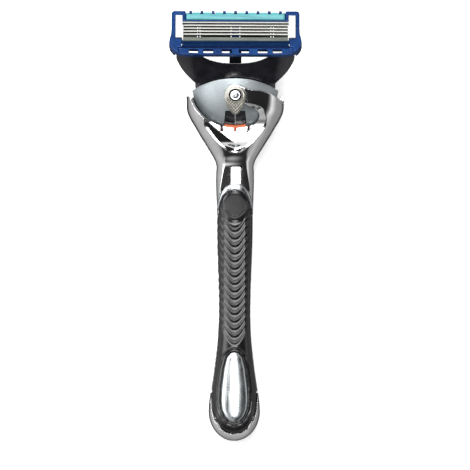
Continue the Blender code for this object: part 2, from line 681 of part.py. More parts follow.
def make_housing(finish):
    housing = prism(
        "cartridge_housing", both_sides(HOUSING_HALF), HOUSING_BACK, HOUSING_FACE, CARTRIDGE_FRAME,
        finish["blue_plastic"],
    )

    def cut(name, low, high):
        combine(housing, box(name, low, high, CARTRIDGE_FRAME))

    cut("blade_well", (-17.6, 1.6, -0.3), (17.6, 7.95, 5.0))
    for left, right in ((-17.0, -11.9), (-11.3, -1.3), (1.3, 11.3), (11.9, 17.0)):
        cut("rinse_opening", (left, 1.75, -5.0), (right, 7.95, 0.5))
    cut("strip_tray", (-15.75, 8.25, 0.7), (15.75, 12.0, 5.0))
    cut("guard_tray", (-17.1, -1.4, 1.0), (17.1, 1.8, 5.0))
    cut("arm_room", (-19.05, -6.0, -5.0), (19.05, 1.45, 0.2))
    cut("bar_step", (-18.2, -6.0, 1.2), (18.2, -1.35, 5.0))
    for side in (-1, 1):
        low, high = sorted((side * 17.1, side * 19.05))
        combine(housing, side_prism("eye_room", circle((0, 0), 1.5, 20), low, high, CARTRIDGE_FRAME))
    combine(housing, side_prism("pin_bores", circle((0, 0), 0.98, 20), -20.2, 20.2, CARTRIDGE_FRAME))
    bar = HOUSING_HALF[:3] + [(19.6, -2.4), (19.6, -1.7), (16.9, -1.7), (16.9, -1.2), (0.0, -1.2)]
    combine(housing, prism("lower_bar", both_sides(bar), -0.6, 0.6, CARTRIDGE_FRAME), "UNION")
    for centre, half in ((2.7, 1.6), (8.6, 1.55), (13.3, 1.45)):
        for side in (-1, 1):
            middle = side * centre
            cut("rinse_slot", (middle - half, -3.05, -5.0), (middle + half, -1.7, 5.0))
    cam = [(3.9, -0.8), (2.5, -0.8), (2.46, -3.0), (2.7, -3.6), (3.26, -3.82), (3.82, -3.6), (4.06, -3.0)]
    combine(housing, side_prism("cam", cam, -1.25, 1.25, CARTRIDGE_FRAME), "UNION")
    for side in (-1, 1):
        low, high = sorted((side * 16.75, side * 19.05))
        for leg in (1.8, 9.35):
            cut("clip_slot", (low, leg, -5.0), (high, leg + 0.5, 5.0))


def make_clips(finish):
    for name, side in (("clip_left", -1), ("clip_right", 1)):
        low, high = sorted((side * 16.85, side * 18.95))
        staple = [(1.9, 2.0), (1.9, -2.05), (3.4, -2.05), (3.4, -2.3), (1.65, -2.3), (1.65, 2.25)]
        staple += [(9.95, 2.25), (9.95, -2.3), (8.2, -2.3), (8.2, -2.05), (9.7, -2.05), (9.7, 2.0)]
        staple = [(v + 0.25, w) if v < 5 else (v - 0.25, w) for v, w in staple]
        side_prism(name, staple, low, high, CARTRIDGE_FRAME, finish["aluminium"])


def make_blades(finish):
    """Each blade is a ground strip on a bent support that stands in the well."""
    tilt = math.radians(-21)
    along, across = math.cos(tilt), math.sin(tilt)
    reach = BLADE_HALF_LENGTH
    for number in range(BLADE_COUNT):
        edge = FIRST_EDGE + BLADE_PITCH * number

        def at(distance, depth):
            return (edge + distance * along + depth * across, EDGE_HEIGHT + distance * across - depth * along)

        strip = [at(0.0, 0.0), at(0.6, 0.0), at(0.6, 0.1), at(0.12, 0.1)]
        side_prism(f"blade_{number + 1}", strip, -reach, reach, CARTRIDGE_FRAME, finish["steel"])
        foot = edge + 0.46
        support = [at(0.2, 0.16), at(0.68, 0.16), (foot + 0.13, 1.05), (foot + 0.13, -1.5), (foot, -1.5)]
        support += [(foot, 1.1), at(0.2, 0.28)]
        bracket = side_prism(
            f"blade_support_{number + 1}", support, -16.6, 16.6, CARTRIDGE_FRAME, finish["spring"]
        )
        gaps = ((-17.5, -11.6), (-1.25, 1.25), (11.6, 17.5))
        for left, right in gaps:
            low, high = (left, edge, 0.95), (right, edge + 1.2, 3.0)
            combine(bracket, box("support_gap", low, high, CARTRIDGE_FRAME))
        for left, right in ((-12.1, -11.1), (-1.5, 1.5), (11.1, 12.1)):
            low, high = (left, edge, -3.0), (right, edge + 1.2, 0.1)
            combine(bracket, box("rib_gap", low, high, CARTRIDGE_FRAME))


def make_face_strips(finish):
    strip = [(8.4, 0.85), (11.1, 0.85), (11.1, 1.7), (10.8, 2.05), (10.2, 2.2), (9.0, 2.2), (8.6, 2.05)]
    strip += [(8.4, 1.8)]
    side_prism("lubricating_strip", strip, -15.6, 15.6, CARTRIDGE_FRAME, finish["strip"])

    fins = [(-1.25, 1.15), (0.85, 1.15)]
    count, pitch = 4, 0.5
    for fin in reversed(range(count)):
        start = -1.15 + fin * pitch
        fins += [(start + 0.36, 1.45), (start + 0.3, 2.0), (start + 0.1, 2.0), (start + 0.04, 1.45)]
    fins += [(-1.25, 1.45)]
    side_prism("guard_fins", fins, -16.9, 16.9, CARTRIDGE_FRAME, finish["navy_elastomer"])

    comb = [(1.0, 1.15), (1.48, 1.15), (2.2, 1.5), (2.2, 1.72), (1.0, 1.72)]
    side_prism("comb_guard", comb, -16.7, 16.7, CARTRIDGE_FRAME, finish["grey_comb"])


def make_trimmer(finish):
    guard = [(9.6, -2.0), (11.9, -2.0), (12.5, -2.6), (12.5, -3.1), (9.6, -3.1)]
    side_prism("trimmer_guard", guard, -16.2, 16.2, CARTRIDGE_FRAME, finish["blue_plastic"])
    blade = [(9.9, -3.2), (12.9, -3.2), (12.75, -3.32), (9.9, -3.32)]
    side_prism("trimmer_blade", blade, -15.8, 15.8, CARTRIDGE_FRAME, finish["steel"])


def main():
    clear_scene()
    finish = finishes()
    make_handle(finish)
    make_grips(finish)
    make_pivot_caps(finish)
    make_ball(finish)
    make_core(finish)
    make_return_tail(finish)
    make_button(finish)
    make_plunger(finish)
    make_yoke(finish)
    make_housing(finish)
    make_clips(finish)
    make_blades(finish)
    make_face_strips(finish)
    make_trimmer(finish)


main()
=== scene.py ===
import json
import math

import bmesh
import bpy
import numpy as np
from mathutils import Matrix, Vector

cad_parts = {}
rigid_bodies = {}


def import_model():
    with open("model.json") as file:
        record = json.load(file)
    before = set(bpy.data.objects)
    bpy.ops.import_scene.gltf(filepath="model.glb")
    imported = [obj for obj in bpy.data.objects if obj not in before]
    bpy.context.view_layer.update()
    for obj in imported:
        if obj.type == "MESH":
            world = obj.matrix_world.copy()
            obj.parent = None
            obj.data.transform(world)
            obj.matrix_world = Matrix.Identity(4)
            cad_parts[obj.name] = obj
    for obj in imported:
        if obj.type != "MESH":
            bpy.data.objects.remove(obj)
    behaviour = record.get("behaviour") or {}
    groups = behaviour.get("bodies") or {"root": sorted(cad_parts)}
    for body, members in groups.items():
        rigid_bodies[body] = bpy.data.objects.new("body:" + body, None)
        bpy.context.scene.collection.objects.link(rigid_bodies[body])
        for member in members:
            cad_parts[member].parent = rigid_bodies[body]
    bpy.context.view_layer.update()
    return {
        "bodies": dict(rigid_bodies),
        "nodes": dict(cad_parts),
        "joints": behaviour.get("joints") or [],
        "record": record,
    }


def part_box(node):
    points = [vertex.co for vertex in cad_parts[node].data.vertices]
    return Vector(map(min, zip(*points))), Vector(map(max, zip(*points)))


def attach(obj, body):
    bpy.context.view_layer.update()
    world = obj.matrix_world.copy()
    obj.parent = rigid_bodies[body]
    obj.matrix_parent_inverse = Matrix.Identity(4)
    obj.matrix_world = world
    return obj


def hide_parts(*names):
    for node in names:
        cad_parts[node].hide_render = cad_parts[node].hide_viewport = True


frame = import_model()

MM = 0.001
NODES = frame["nodes"]
JOINTS = {joint["name"]: joint for joint in frame["joints"]}

# ---- the object's numbers, in millimetres; a station is a distance from the handle's butt end ----
BUTT_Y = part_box("handle_frame")[0].y / MM - 0.12
SWING = Vector(JOINTS["ball_pivot"]["pos_m"]) / MM
TILT = Vector(JOINTS["cartridge_pivot"]["pos_m"]) / MM
BALL_Z = 12.4
BALL_Y = SWING.y + 3.4
SWING_STATION = SWING.y - BUTT_Y
BALL_RADIUS, BALL_HALF_DEPTH = 13.77, 9.8
FACE_TILT, YOKE_LEAN = math.radians(27), math.radians(28)
SEAM_LOW, SEAM_HIGH = 8.0, 9.4

BULB_STATION = 9.5
# (station, half-width, height of the back, height of the front) along the handle
HANDLE = [
    (9.5, 8.15, -0.35, 15.5), (12.5, 7.95, -0.3, 15.5), (16.8, 7.3, 0.1, 15.2), (21.8, 6.55, 0.9, 14.8),
    (26.9, 5.9, 1.7, 14.5), (32.0, 5.35, 2.3, 14.3), (38.3, 5.05, 2.8, 14.3), (44.6, 5.05, 3.0, 14.6),
    (51.0, 5.2, 3.1, 15.0), (57.3, 5.45, 3.1, 15.4), (63.6, 5.65, 3.0, 15.8), (70.0, 5.7, 3.0, 16.1),
    (75.0, 5.8, 3.1, 16.3), (79.5, 5.95, 3.2, 16.3), (84.0, 6.0, 3.3, 16.0), (86.4, 5.85, 3.3, 16.0),
    (87.7, 6.0, 3.2, 16.2), (89.0, 6.5, 3.0, 16.6), (90.2, 7.15, 2.8, 17.0), (91.5, 7.95, 2.5, 17.6),
    (94.0, 9.5, 2.0, 18.8), (96.6, 11.15, 1.5, 20.0), (99.1, 12.6, 1.0, 21.1), (101.6, 14.1, 0.6, 22.2),
    (104.2, 15.2, 0.35, 23.2), (106.6, 15.4, 0.15, 24.0), (109.5, 15.5, 0.05, 24.5), (112.9, 15.6, 0.0, 24.8),
    (117.0, 15.2, 0.4, 24.4),
]
SQUARENESS = 2.4

# The opening in the fork, seen from the front.
FRONT_WINDOW = [
    (-20.0, 109.6), (-14.4, 109.0), (-13.6, 107.0), (-12.4, 104.9), (-10.4, 102.6), (-7.3, 99.6),
    (-3.6, 96.6), (-0.6, 94.5), (0.6, 94.5), (3.2, 97.0), (5.6, 99.5), (7.3, 101.8), (7.7, 103.2),
    (7.0, 104.6), (5.3, 105.5), (3.0, 106.9), (1.6, 106.35), (0.0, 106.1), (-1.6, 106.35), (-3.0, 107.9),
    (-3.4, 109.5), (-3.0, 111.1), (-1.7, 112.5), (0.0, 112.9), (2.2, 112.2), (4.6, 111.4), (8.2, 110.9),
    (11.6, 109.9), (13.7, 108.5), (15.2, 106.6), (20.0, 106.0), (20.0, 125.0), (-20.0, 125.0),
]

# Half outlines, (x, station), from the butt towards the head
GRIP_OUTLINE = [
    (0.0, 2.1), (2.4, 2.6), (4.6, 4.0), (6.2, 6.4), (7.0, 9.4), (7.25, 12.6), (7.35, 16.0), (8.4, 21.0),
    (9.5, 30.0), (9.5, 66.0), (6.3, 69.0), (5.55, 71.8), (4.95, 74.7), (3.95, 77.4), (2.3, 78.9), (0.0, 79.4),
]
RIM_OUTLINE = [
    (6.6, 70.2), (5.85, 73.2), (5.45, 74.4), (5.3, 75.9), (4.7, 78.2), (3.2, 80.4), (1.5, 81.3), (0.0, 81.5),
]
BADGE_OUTLINE = [
    (0.0, 5.5), (1.8, 6.1), (3.1, 7.5), (4.2, 9.8), (4.57, 12.6), (4.4, 17.0), (3.6, 23.0), (2.7, 26.4),
    (1.5, 27.9), (0.0, 28.3),
]
REAR_GRIP_OUTLINE = [
    (0.0, 3.4), (3.0, 4.0), (5.6, 6.0), (7.0, 9.4), (7.25, 12.6), (7.35, 16.0), (8.4, 21.0), (9.5, 30.0),
    (9.5, 70.0), (5.2, 76.0), (3.4, 82.5), (1.4, 85.2), (0.0, 85.7),
]


def axes(across, along, out, origin):
    matrix = Matrix((across, along, out)).transposed().to_4x4()
    matrix.translation = Vector(origin)
    return matrix


HANDLE_FRAME = axes((1, 0, 0), (0, 1, 0), (0, 0, 1), (0, BUTT_Y, 0))
CARTRIDGE_FRAME = axes(
    (1, 0, 0),
    (0, math.cos(FACE_TILT), -math.sin(FACE_TILT)),
    (0, math.sin(FACE_TILT), math.cos(FACE_TILT)),
    TILT,
)
YOKE_FRAME = axes(
    (1, 0, 0),
    (0, math.cos(YOKE_LEAN), math.sin(YOKE_LEAN)),
    (0, -math.sin(YOKE_LEAN), math.cos(YOKE_LEAN)),
    TILT,
)


# ---- shader tools ----
class Shader:
    """A Principled material built node by node."""

    def __init__(self, name, **values):
        self.material = bpy.data.materials.new(name)
        self.material.use_nodes = True
        self.tree = self.material.node_tree
        self.main = self.tree.nodes["Principled BSDF"]
        for key, value in values.items():
            self.main.inputs[key.replace("_", " ")].default_value = value
        self.place = self.node("ShaderNodeTexCoord").outputs["Object"]

    def node(self, kind, **values):
        made = self.tree.nodes.new(kind)
        for key, value in values.items():
            setattr(made, key, value)
        return made

    def link(self, source, target):
        self.tree.links.new(source, target)

    def scaled(self, scale):
        mapping = self.node("ShaderNodeMapping")
        mapping.inputs["Scale"].default_value = scale
        self.link(self.place, mapping.inputs["Vector"])
        return mapping.outputs["Vector"]

    def noise(self, scale, detail=3.0, roughness=0.55, stretch=(1, 1, 1)):
        made = self.node("ShaderNodeTexNoise")
        made.inputs["Scale"].default_value = scale
        made.inputs["Detail"].default_value = detail
        made.inputs["Roughness"].default_value = roughness
        self.link(self.scaled(stretch), made.inputs["Vector"])
        return made.outputs["Fac"]

    def ramp(self, source, stops):
        made = self.node("ShaderNodeValToRGB")
        elements = made.color_ramp.elements
        while len(elements) < len(stops):
            elements.new(0.5)
        for element, (position, colour) in zip(elements, stops):
            element.position = position
            element.color = (*colour, 1)
        self.link(source, made.inputs["Fac"])
        return made.outputs["Color"]

    def range(self, source, low, high, at_low=0.3, at_high=0.7):
        made = self.node("ShaderNodeMapRange")
        for socket, value in (("From Min", at_low), ("From Max", at_high), ("To Min", low), ("To Max", high)):
            made.inputs[socket].default_value = value
        self.link(source, made.inputs["Value"])
        return made.outputs["Result"]

    def mix(self, factor, first, second):
        made = self.node("ShaderNodeMix", data_type="RGBA")
        for socket, value in ((made.inputs[0], factor), (made.inputs[6], first), (made.inputs[7], second)):
            if hasattr(value, "is_linked"):
                self.link(value, socket)
            else:
                socket.default_value = value if isinstance(value, float) else (*value, 1)
        return made.outputs[2]

    def colour(self, source):
        self.link(source, self.main.inputs["Base Color"])
        return self

    def rough(self, source):
        self.link(source, self.main.inputs["Roughness"])
        return self

    def bump(self, source, depth, strength=1.0):
        made = self.node("ShaderNodeBump")
        made.inputs["Distance"].default_value = depth * MM
        made.inputs["Strength"].default_value = strength
        self.link(source, made.inputs["Height"])
        self.link(made.outputs["Normal"], self.main.inputs["Normal"])
        return self


def make_materials():
    made = {}

    s = Shader("chrome_plate", Metallic=1.0)
    s.colour(s.ramp(s.noise(260), [(0.35, (0.80, 0.80, 0.81)), (0.65, (0.88, 0.88, 0.88))]))
    s.rough(s.range(s.noise(420, 4.0), 0.045, 0.11))
    s.bump(s.noise(900, 2.0), 0.004, 0.35)
    made["chrome"] = s.material

    s = Shader("satin_silver_plate", Metallic=1.0)
    grain = s.noise(300, 3.0, 0.5, (1, 0.15, 1))
    s.colour(s.ramp(grain, [(0.3, (0.56, 0.60, 0.62)), (0.7, (0.68, 0.71, 0.73))]))
    s.rough(s.range(s.noise(1500, 3.0, 0.6, (1, 0.1, 1)), 0.2, 0.34))
    s.bump(s.noise(2600, 2.0, 0.5, (1, 0.08, 1)), 0.01, 0.5)
    made["satin"] = s.material

    s = Shader("shield_silver_groove_shade", Metallic=1.0)
    # Black within about 2 mm of the pivot: painted shade in the groove round the stud, beside the warm silver
    # face.
    away = s.node("ShaderNodeVectorMath", operation="DISTANCE")
    away.inputs[1].default_value = (0, SWING_STATION * MM, 0)
    s.link(s.scaled((1, 1, 0)), away.inputs[0])
    face = s.ramp(s.noise(1800, 3.0), [(0.3, (0.30, 0.29, 0.26)), (0.7, (0.46, 0.45, 0.41))])
    s.colour(s.mix(s.range(away.outputs["Value"], 0.0, 1.0, 1.9 * MM, 2.05 * MM), (0.02, 0.02, 0.02), face))
    s.rough(s.range(s.noise(1500, 3.0), 0.3, 0.44))
    s.bump(s.noise(3000, 2.0), 0.01, 0.5)
    made["shield"] = s.material

    s = Shader("ball_satin_grey", Metallic=0.6)
    s.colour(s.ramp(s.noise(2400, 2.0), [(0.3, (0.31, 0.345, 0.36)), (0.7, (0.39, 0.425, 0.44))]))
    s.rough(s.range(s.noise(900, 4.0), 0.4, 0.5))
    s.bump(s.noise(3500, 2.0), 0.012, 0.5)
    made["ball"] = s.material

    s = Shader("grip_rubber", Specular_IOR_Level=0.65)
    s.colour(s.ramp(s.noise(500, 4.0), [(0.3, (0.004, 0.004, 0.0045)), (0.7, (0.009, 0.009, 0.010))]))
    s.rough(s.range(s.noise(1200, 3.0), 0.17, 0.25))
    s.bump(s.noise(4000, 3.0), 0.01, 0.4)
    made["rubber"] = s.material

    s = Shader("gloss_black", Coat_Weight=0.3, Coat_Roughness=0.06)
    s.colour(s.ramp(s.noise(350), [(0.35, (0.006, 0.006, 0.008)), (0.65, (0.012, 0.012, 0.016))]))
    s.rough(s.range(s.noise(500, 3.0), 0.1, 0.2))
    s.bump(s.noise(700, 2.0), 0.008, 0.4)
    made["black"] = s.material

    s = Shader("orange_moulding")
    s.colour(s.ramp(s.noise(600), [(0.3, (0.72, 0.10, 0.008)), (0.7, (0.86, 0.16, 0.015))]))
    s.rough(s.range(s.noise(900), 0.28, 0.42))
    made["orange"] = s.material

    s = Shader("blue_moulding", Metallic=0.3, Specular_IOR_Level=0.2)
    s.colour(s.ramp(s.noise(220, 3.0), [(0.3, (0.0005, 0.018, 0.09)), (0.7, (0.0015, 0.034, 0.14))]))
    s.rough(s.range(s.noise(700, 3.0), 0.16, 0.3))
    s.bump(s.noise(900, 2.0), 0.01, 0.4)
    made["blue"] = s.material

    s = Shader("navy_fins_crest_highlight", Specular_IOR_Level=0.15)
    height = s.node("ShaderNodeSeparateXYZ")
    s.link(s.place, height.inputs["Vector"])
    # Fin tops above 1.62 mm turn a lighter teal: a painted highlight along the crests over the navy.
    crest = s.range(height.outputs["Z"], 0.0, 1.0, 1.62 * MM, 1.96 * MM)
    valley = s.ramp(s.noise(700, 3.0), [(0.35, (0.001, 0.004, 0.045)), (0.65, (0.002, 0.009, 0.075))])
    s.colour(s.mix(crest, valley, (0.004, 0.045, 0.13)))
    s.rough(s.range(s.noise(1500), 0.35, 0.5))
    made["navy"] = s.material

    s = Shader("comb_grey")
    grain = s.noise(700, 3.0, 0.5, (0.2, 1, 1))
    s.colour(s.ramp(grain, [(0.3, (0.05, 0.06, 0.05)), (0.7, (0.10, 0.115, 0.095))]))
    s.rough(s.range(s.noise(1500), 0.35, 0.5))
    made["comb"] = s.material

    s = Shader("lubricant_strip")
    grain = s.noise(900, 4.0, 0.6, (0.08, 1, 1))
    s.colour(s.ramp(grain, [(0.3, (0.04, 0.22, 0.25)), (0.7, (0.09, 0.34, 0.36))]))
    s.rough(s.range(s.noise(1600), 0.35, 0.55))
    s.bump(s.noise(2400, 3.0, 0.6, (0.08, 1, 1)), 0.03, 0.7)
    made["strip"] = s.material

    s = Shader("ground_steel", Metallic=0.55)
    grain = s.noise(1500, 3.0, 0.6, (0.05, 1, 1))
    s.colour(s.ramp(grain, [(0.3, (0.78, 0.77, 0.73)), (0.7, (0.9, 0.9, 0.87))]))
    s.rough(s.range(s.noise(3000, 3.0, 0.6, (0.05, 1, 1)), 0.16, 0.3))
    made["steel"] = s.material

    s = Shader("spring_steel_sheet", Metallic=1.0)
    grain = s.noise(900, 3.0, 0.6, (0.1, 1, 1))
    s.colour(s.ramp(grain, [(0.3, (0.10, 0.105, 0.09)), (0.7, (0.2, 0.205, 0.185))]))
    s.rough(s.range(s.noise(2000), 0.3, 0.45))
    made["spring"] = s.material

    s = Shader("clip_aluminium", Metallic=0.6)
    s.colour(s.ramp(s.noise(1800, 4.0), [(0.3, (0.40, 0.40, 0.39)), (0.7, (0.60, 0.60, 0.585))]))
    s.rough(s.range(s.noise(2500, 3.0), 0.34, 0.5))
    s.bump(s.noise(3000, 3.0), 0.02, 0.7)
    made["aluminium"] = s.material
    return made


MATERIALS = make_materials()
FINISH_OF = {
    "chrome": ("handle_frame", "pivot_shield", "rear_pivot_cap"),
    "rubber": ("front_grip", "rear_grip"),
    "satin": ("grip_rim", "badge", "pivot_stud", "eject_button"),
    "ball": ("ball_shell_front", "ball_shell_rear"),
    "black": ("head_core", "yoke", "plunger"),
    "orange": ("return_tail",),
    "blue": ("cartridge_housing", "trimmer_guard"),
    "navy": ("guard_fins",),
    "comb": ("comb_guard",),
    "strip": ("lubricating_strip",),
    "steel": ("blade_1", "blade_2", "blade_3", "blade_4", "blade_5", "trimmer_blade"),
    "aluminium": ("clip_left", "clip_right"),
    "spring": (
        "blade_support_1", "blade_support_2", "blade_support_3", "blade_support_4", "blade_support_5",
        "plunger_spring", "eject_spring",
    ),
}
for finish, names in FINISH_OF.items():
    for name in names:
        node = NODES[name]
        node.data.materials.clear()
        node.data.materials.append(MATERIALS[finish])

# ---- shape tools ----
def show(name, obj, body, node):
    """Hands a finished piece to the frame in place of one CAD node."""
    obj.name = name
    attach(obj, body)
    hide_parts(node)
    return obj


def build(name, points, faces, frame=HANDLE_FRAME, finish=None, sharp=40):
    """A mesh object of points in millimetres in a local frame. Without a finish it is a cutter."""
    mesh = bpy.data.meshes.new(name)
    mesh.from_pydata((np.asarray(points, float) * MM).tolist(), [], faces)
    shape = bmesh.new()
    shape.from_mesh(mesh)
    bmesh.ops.recalc_face_normals(shape, faces=shape.faces)
    shape.to_mesh(mesh)
    shape.free()
    mesh.shade_smooth()
    if sharp:
        mesh.set_sharp_from_angle(angle=math.radians(sharp))
    obj = bpy.data.objects.new(name, mesh)
    placed = frame.copy()
    placed.translation = frame.translation * MM
    obj.matrix_world = placed
    bpy.context.scene.collection.objects.link(obj)
    if finish:
        mesh.materials.append(MATERIALS[finish])
    return obj


def settle(obj):
    """Turns the object's modifiers into its own mesh."""
    graph = bpy.context.evaluated_depsgraph_get()
    mesh = bpy.data.meshes.new_from_object(obj.evaluated_get(graph), depsgraph=graph)
    finish = list(obj.data.materials)
    obj.modifiers.clear()
    obj.data = mesh
    mesh.materials.clear()
    for material in finish:
        mesh.materials.append(material)
    return obj


def combine(obj, other, operation="DIFFERENCE"):
    modifier = obj.modifiers.new("Boolean", "BOOLEAN")
    modifier.operation = operation
    modifier.object = other
    bpy.context.view_layer.update()
    settle(obj)
    bpy.data.objects.remove(other)
    return obj


def remesh(obj, voxel, rounds):
    """Even small faces with softened edges, as a moulded or plated piece has."""
    modifier = obj.modifiers.new("Remesh", "REMESH")
    modifier.mode = "VOXEL"
    modifier.voxel_size = voxel * MM
    smooth = obj.modifiers.new("Smooth", "SMOOTH")
    smooth.factor = 0.5
    smooth.iterations = rounds
    bpy.context.view_layer.update()
    settle(obj)
    obj.data.shade_smooth()
    return obj


def coordinates(obj):
    """The mesh's points in millimetres as an array."""
    points = np.empty(len(obj.data.vertices) * 3)
    obj.data.vertices.foreach_get("co", points)
    return points.reshape(-1, 3) / MM


def reshape(obj, points):
    obj.data.vertices.foreach_set("co", (points * MM).ravel())
    obj.data.update()


def loft(rings):
    count = len(rings[0])
    points = [point for ring in rings for point in ring]
    faces = [
        (r * count + k, r * count + (k + 1) % count, (r + 1) * count + (k + 1) % count, (r + 1) * count + k)
        for r in range(len(rings) - 1)
        for k in range(count)
    ]
    last = (len(rings) - 1) * count
    faces += [tuple(reversed(range(count))), tuple(range(last, last + count))]
    return points, faces


def prism(name, outline, low, high, frame=HANDLE_FRAME, finish=None):
    rings = [[(x, y, height) for x, y in outline] for height in (low, high)]
    return build(name, *loft(rings), frame, finish)


def side_prism(name, outline, low, high, frame):
    rings = [[(across, y, z) for y, z in outline] for across in (low, high)]
    return build(name, *loft(rings), frame)


def box(name, low, high, frame=HANDLE_FRAME):
    outline = [(low[0], low[1]), (high[0], low[1]), (high[0], high[1]), (low[0], high[1])]
    return prism(name, outline, low[2], high[2], frame)


def circle(centre, radius, count=64):
    turns = [2 * math.pi * k / count for k in range(count)]
    return [(centre[0] + radius * math.cos(t), centre[1] + radius * math.sin(t)) for t in turns]


def both_sides(half):
    return half + [(-x, y) for x, y in reversed(half) if x > 0]


def shrunk(half, gap):
    """A half outline drawn in by gap."""
    points = both_sides(half)
    count = len(points)
    result = []
    for k, (x, y) in enumerate(half):
        before, after = Vector(points[k - 1]), Vector(points[(k + 1) % count])
        along = (after - before).normalized()
        result.append((max(x - along.y * gap, 0.0) if x > 0 else 0.0, y + along.x * gap))
    return result


def curve_through(table, column):
    """A smooth function through one column of a table whose first column is the station."""
    xs = np.array([row[0] for row in table], float)
    ys = np.array([row[column] for row in table], float)
    before = np.concatenate([[0], np.arange(len(xs) - 1)])
    after = np.concatenate([np.arange(1, len(xs)), [len(xs) - 1]])
    slopes = (ys[after] - ys[before]) / (xs[after] - xs[before])

    def at(x):
        x = np.asarray(x, float)
        k = np.clip(np.searchsorted(xs, x) - 1, 0, len(xs) - 2)
        span = xs[k + 1] - xs[k]
        t = np.clip((x - xs[k]) / span, 0.0, 1.0)
        rest = 1 - t
        return (
            ys[k] * (1 + 2 * t) * rest * rest
            + ys[k + 1] * t * t * (3 - 2 * t)
            + span * (slopes[k] * t * rest * rest - slopes[k + 1] * t * t * rest)
        )

    return at


half_width_at = curve_through(HANDLE, 1)
back_at = curve_through(HANDLE, 2)
front_at = curve_through(HANDLE, 3)


def section_at(station, inset=0.0):
    """Half-width, middle height and half-depth of the handle's cross-section."""
    widest = np.maximum(station, BULB_STATION)
    half, back, front = half_width_at(widest), back_at(widest), front_at(widest)
    share = np.clip((BULB_STATION - station) / (BULB_STATION - inset), 0.0, 1.0)
    end = np.sqrt(np.maximum(1 - share * share, 0.0))
    return (half - inset) * end, (front + back) / 2, ((front - back) / 2 - inset) * end


def front_surface(x, station):
    """Height of the handle's front at a place seen from the front."""
    half, middle, depth = section_at(station)
    share = np.clip(np.abs(x) / half, 0.0, 1.0)
    return middle + depth * (1 - share**SQUARENESS) ** (1 / SQUARENESS)


def handle_ring(station, inset, count):
    half, middle, depth = section_at(station, inset)
    turns = 2 * np.pi * np.arange(count) / count
    across, up = np.cos(turns), np.sin(turns)
    power = 2 / SQUARENESS
    x = half * np.sign(across) * np.abs(across) ** power
    z = middle + depth * np.sign(up) * np.abs(up) ** power
    return np.stack([x, np.full(count, station), z], axis=1).tolist()


def handle_body(name, low, high, inset=0.0, finish=None, count=96):
    round_end = inset + 0.01 + 9.4 * (1 - np.cos(np.linspace(0.1, 1.5, 12)))
    ends = [s for s in round_end if low <= s < BULB_STATION]
    places = ends + list(np.arange(max(low, BULB_STATION), min(high, 86.0), 1.5))
    places += [s for s in np.arange(86.5, 118.1, 0.75) if low <= s <= high]
    return build(name, *loft([handle_ring(s, inset, count) for s in places]), HANDLE_FRAME, finish)


def ball(name, radius, half_depth, count=128, bands=64, finish=None, wide=0.0):
    rings = []
    for band in range(1, bands):
        lean = math.pi * band / bands
        ring = []
        for k in range(count):
            turn = 2 * math.pi * k / count
            x = (radius + wide) * math.sin(lean) * math.cos(turn)
            y = BALL_Y - BUTT_Y + radius * math.sin(lean) * math.sin(turn)
            ring.append((x, y, BALL_Z - half_depth * math.cos(lean)))
        rings.append(ring)
    return build(name, *loft(rings), HANDLE_FRAME, finish)


def bell(distance, width):
    return np.exp(-((distance / width) ** 2))


def step(value, low, high):
    """0 below low, 1 above high and smooth between."""
    t = np.clip((value - low) / (high - low), 0.0, 1.0)
    return t * t * (3 - 2 * t)


def outline_distance(outline, x, y):
    """Distance to a closed outline, negative inside it."""
    nearest = np.full(np.shape(x), 1e9)
    inside = np.zeros(np.shape(x), bool)
    for (x0, y0), (x1, y1) in zip(outline, outline[1:] + outline[:1]):
        dx, dy = x1 - x0, y1 - y0
        share = np.clip(((x - x0) * dx + (y - y0) * dy) / (dx * dx + dy * dy), 0, 1)
        nearest = np.minimum(nearest, np.hypot(x - x0 - share * dx, y - y0 - share * dy))
        if y0 != y1:
            crosses = (y0 > y) != (y1 > y)
            inside ^= crosses & (x < x0 + (y - y0) / (y1 - y0) * dx)
    return np.where(inside, -nearest, nearest)


def rounded_outline(outline, steps=4, closed=True):
    """The outline redrawn as a smooth curve through its points."""
    points = [Vector(p) for p in outline]
    count = len(points)
    result = []
    for k in range(count if closed else count - 1):
        places = [k + j - 1 for j in range(4)]
        places = [i % count if closed else min(max(i, 0), count - 1) for i in places]
        p0, p1, p2, p3 = (points[i] for i in places)
        for i in range(steps):
            t = i / steps
            result.append(
                tuple(
                    0.5
                    * (
                        2 * p1
                        + (p2 - p0) * t
                        + (2 * p0 - 5 * p1 + 4 * p2 - p3) * t * t
                        + (3 * p1 - p0 - 3 * p2 + p3) * t**3
                    )
                )
            )
    return result


def skin(name, base, height, depth, finish, frame=HANDLE_FRAME):
    """A closed shell over a grid of points, raised by height and backed at depth."""
    across = np.gradient(base, axis=1)
    along = np.gradient(base, axis=0)
    normal = np.cross(across, along)
    normal /= np.maximum(np.linalg.norm(normal, axis=2, keepdims=True), 1e-9)
    outer = base + normal * height[..., None]
    inner = base - normal * depth
    rows, columns = base.shape[:2]
    points = np.concatenate([outer.reshape(-1, 3), inner.reshape(-1, 3)])
    index = np.arange(rows * columns).reshape(rows, columns)
    front = np.stack([index[:-1, :-1], index[:-1, 1:], index[1:, 1:], index[1:, :-1]], axis=-1).reshape(-1, 4)
    back = front[:, ::-1] + rows * columns
    border = np.concatenate([index[0, :], index[1:, -1], index[-1, -2::-1], index[-2:0:-1, 0]])
    following = np.roll(border, -1)
    wall = np.stack([border, border + rows * columns, following + rows * columns, following], axis=-1)
    faces = np.concatenate([front, back, wall]).tolist()
    return build(name, points, faces, frame, finish, sharp=0)


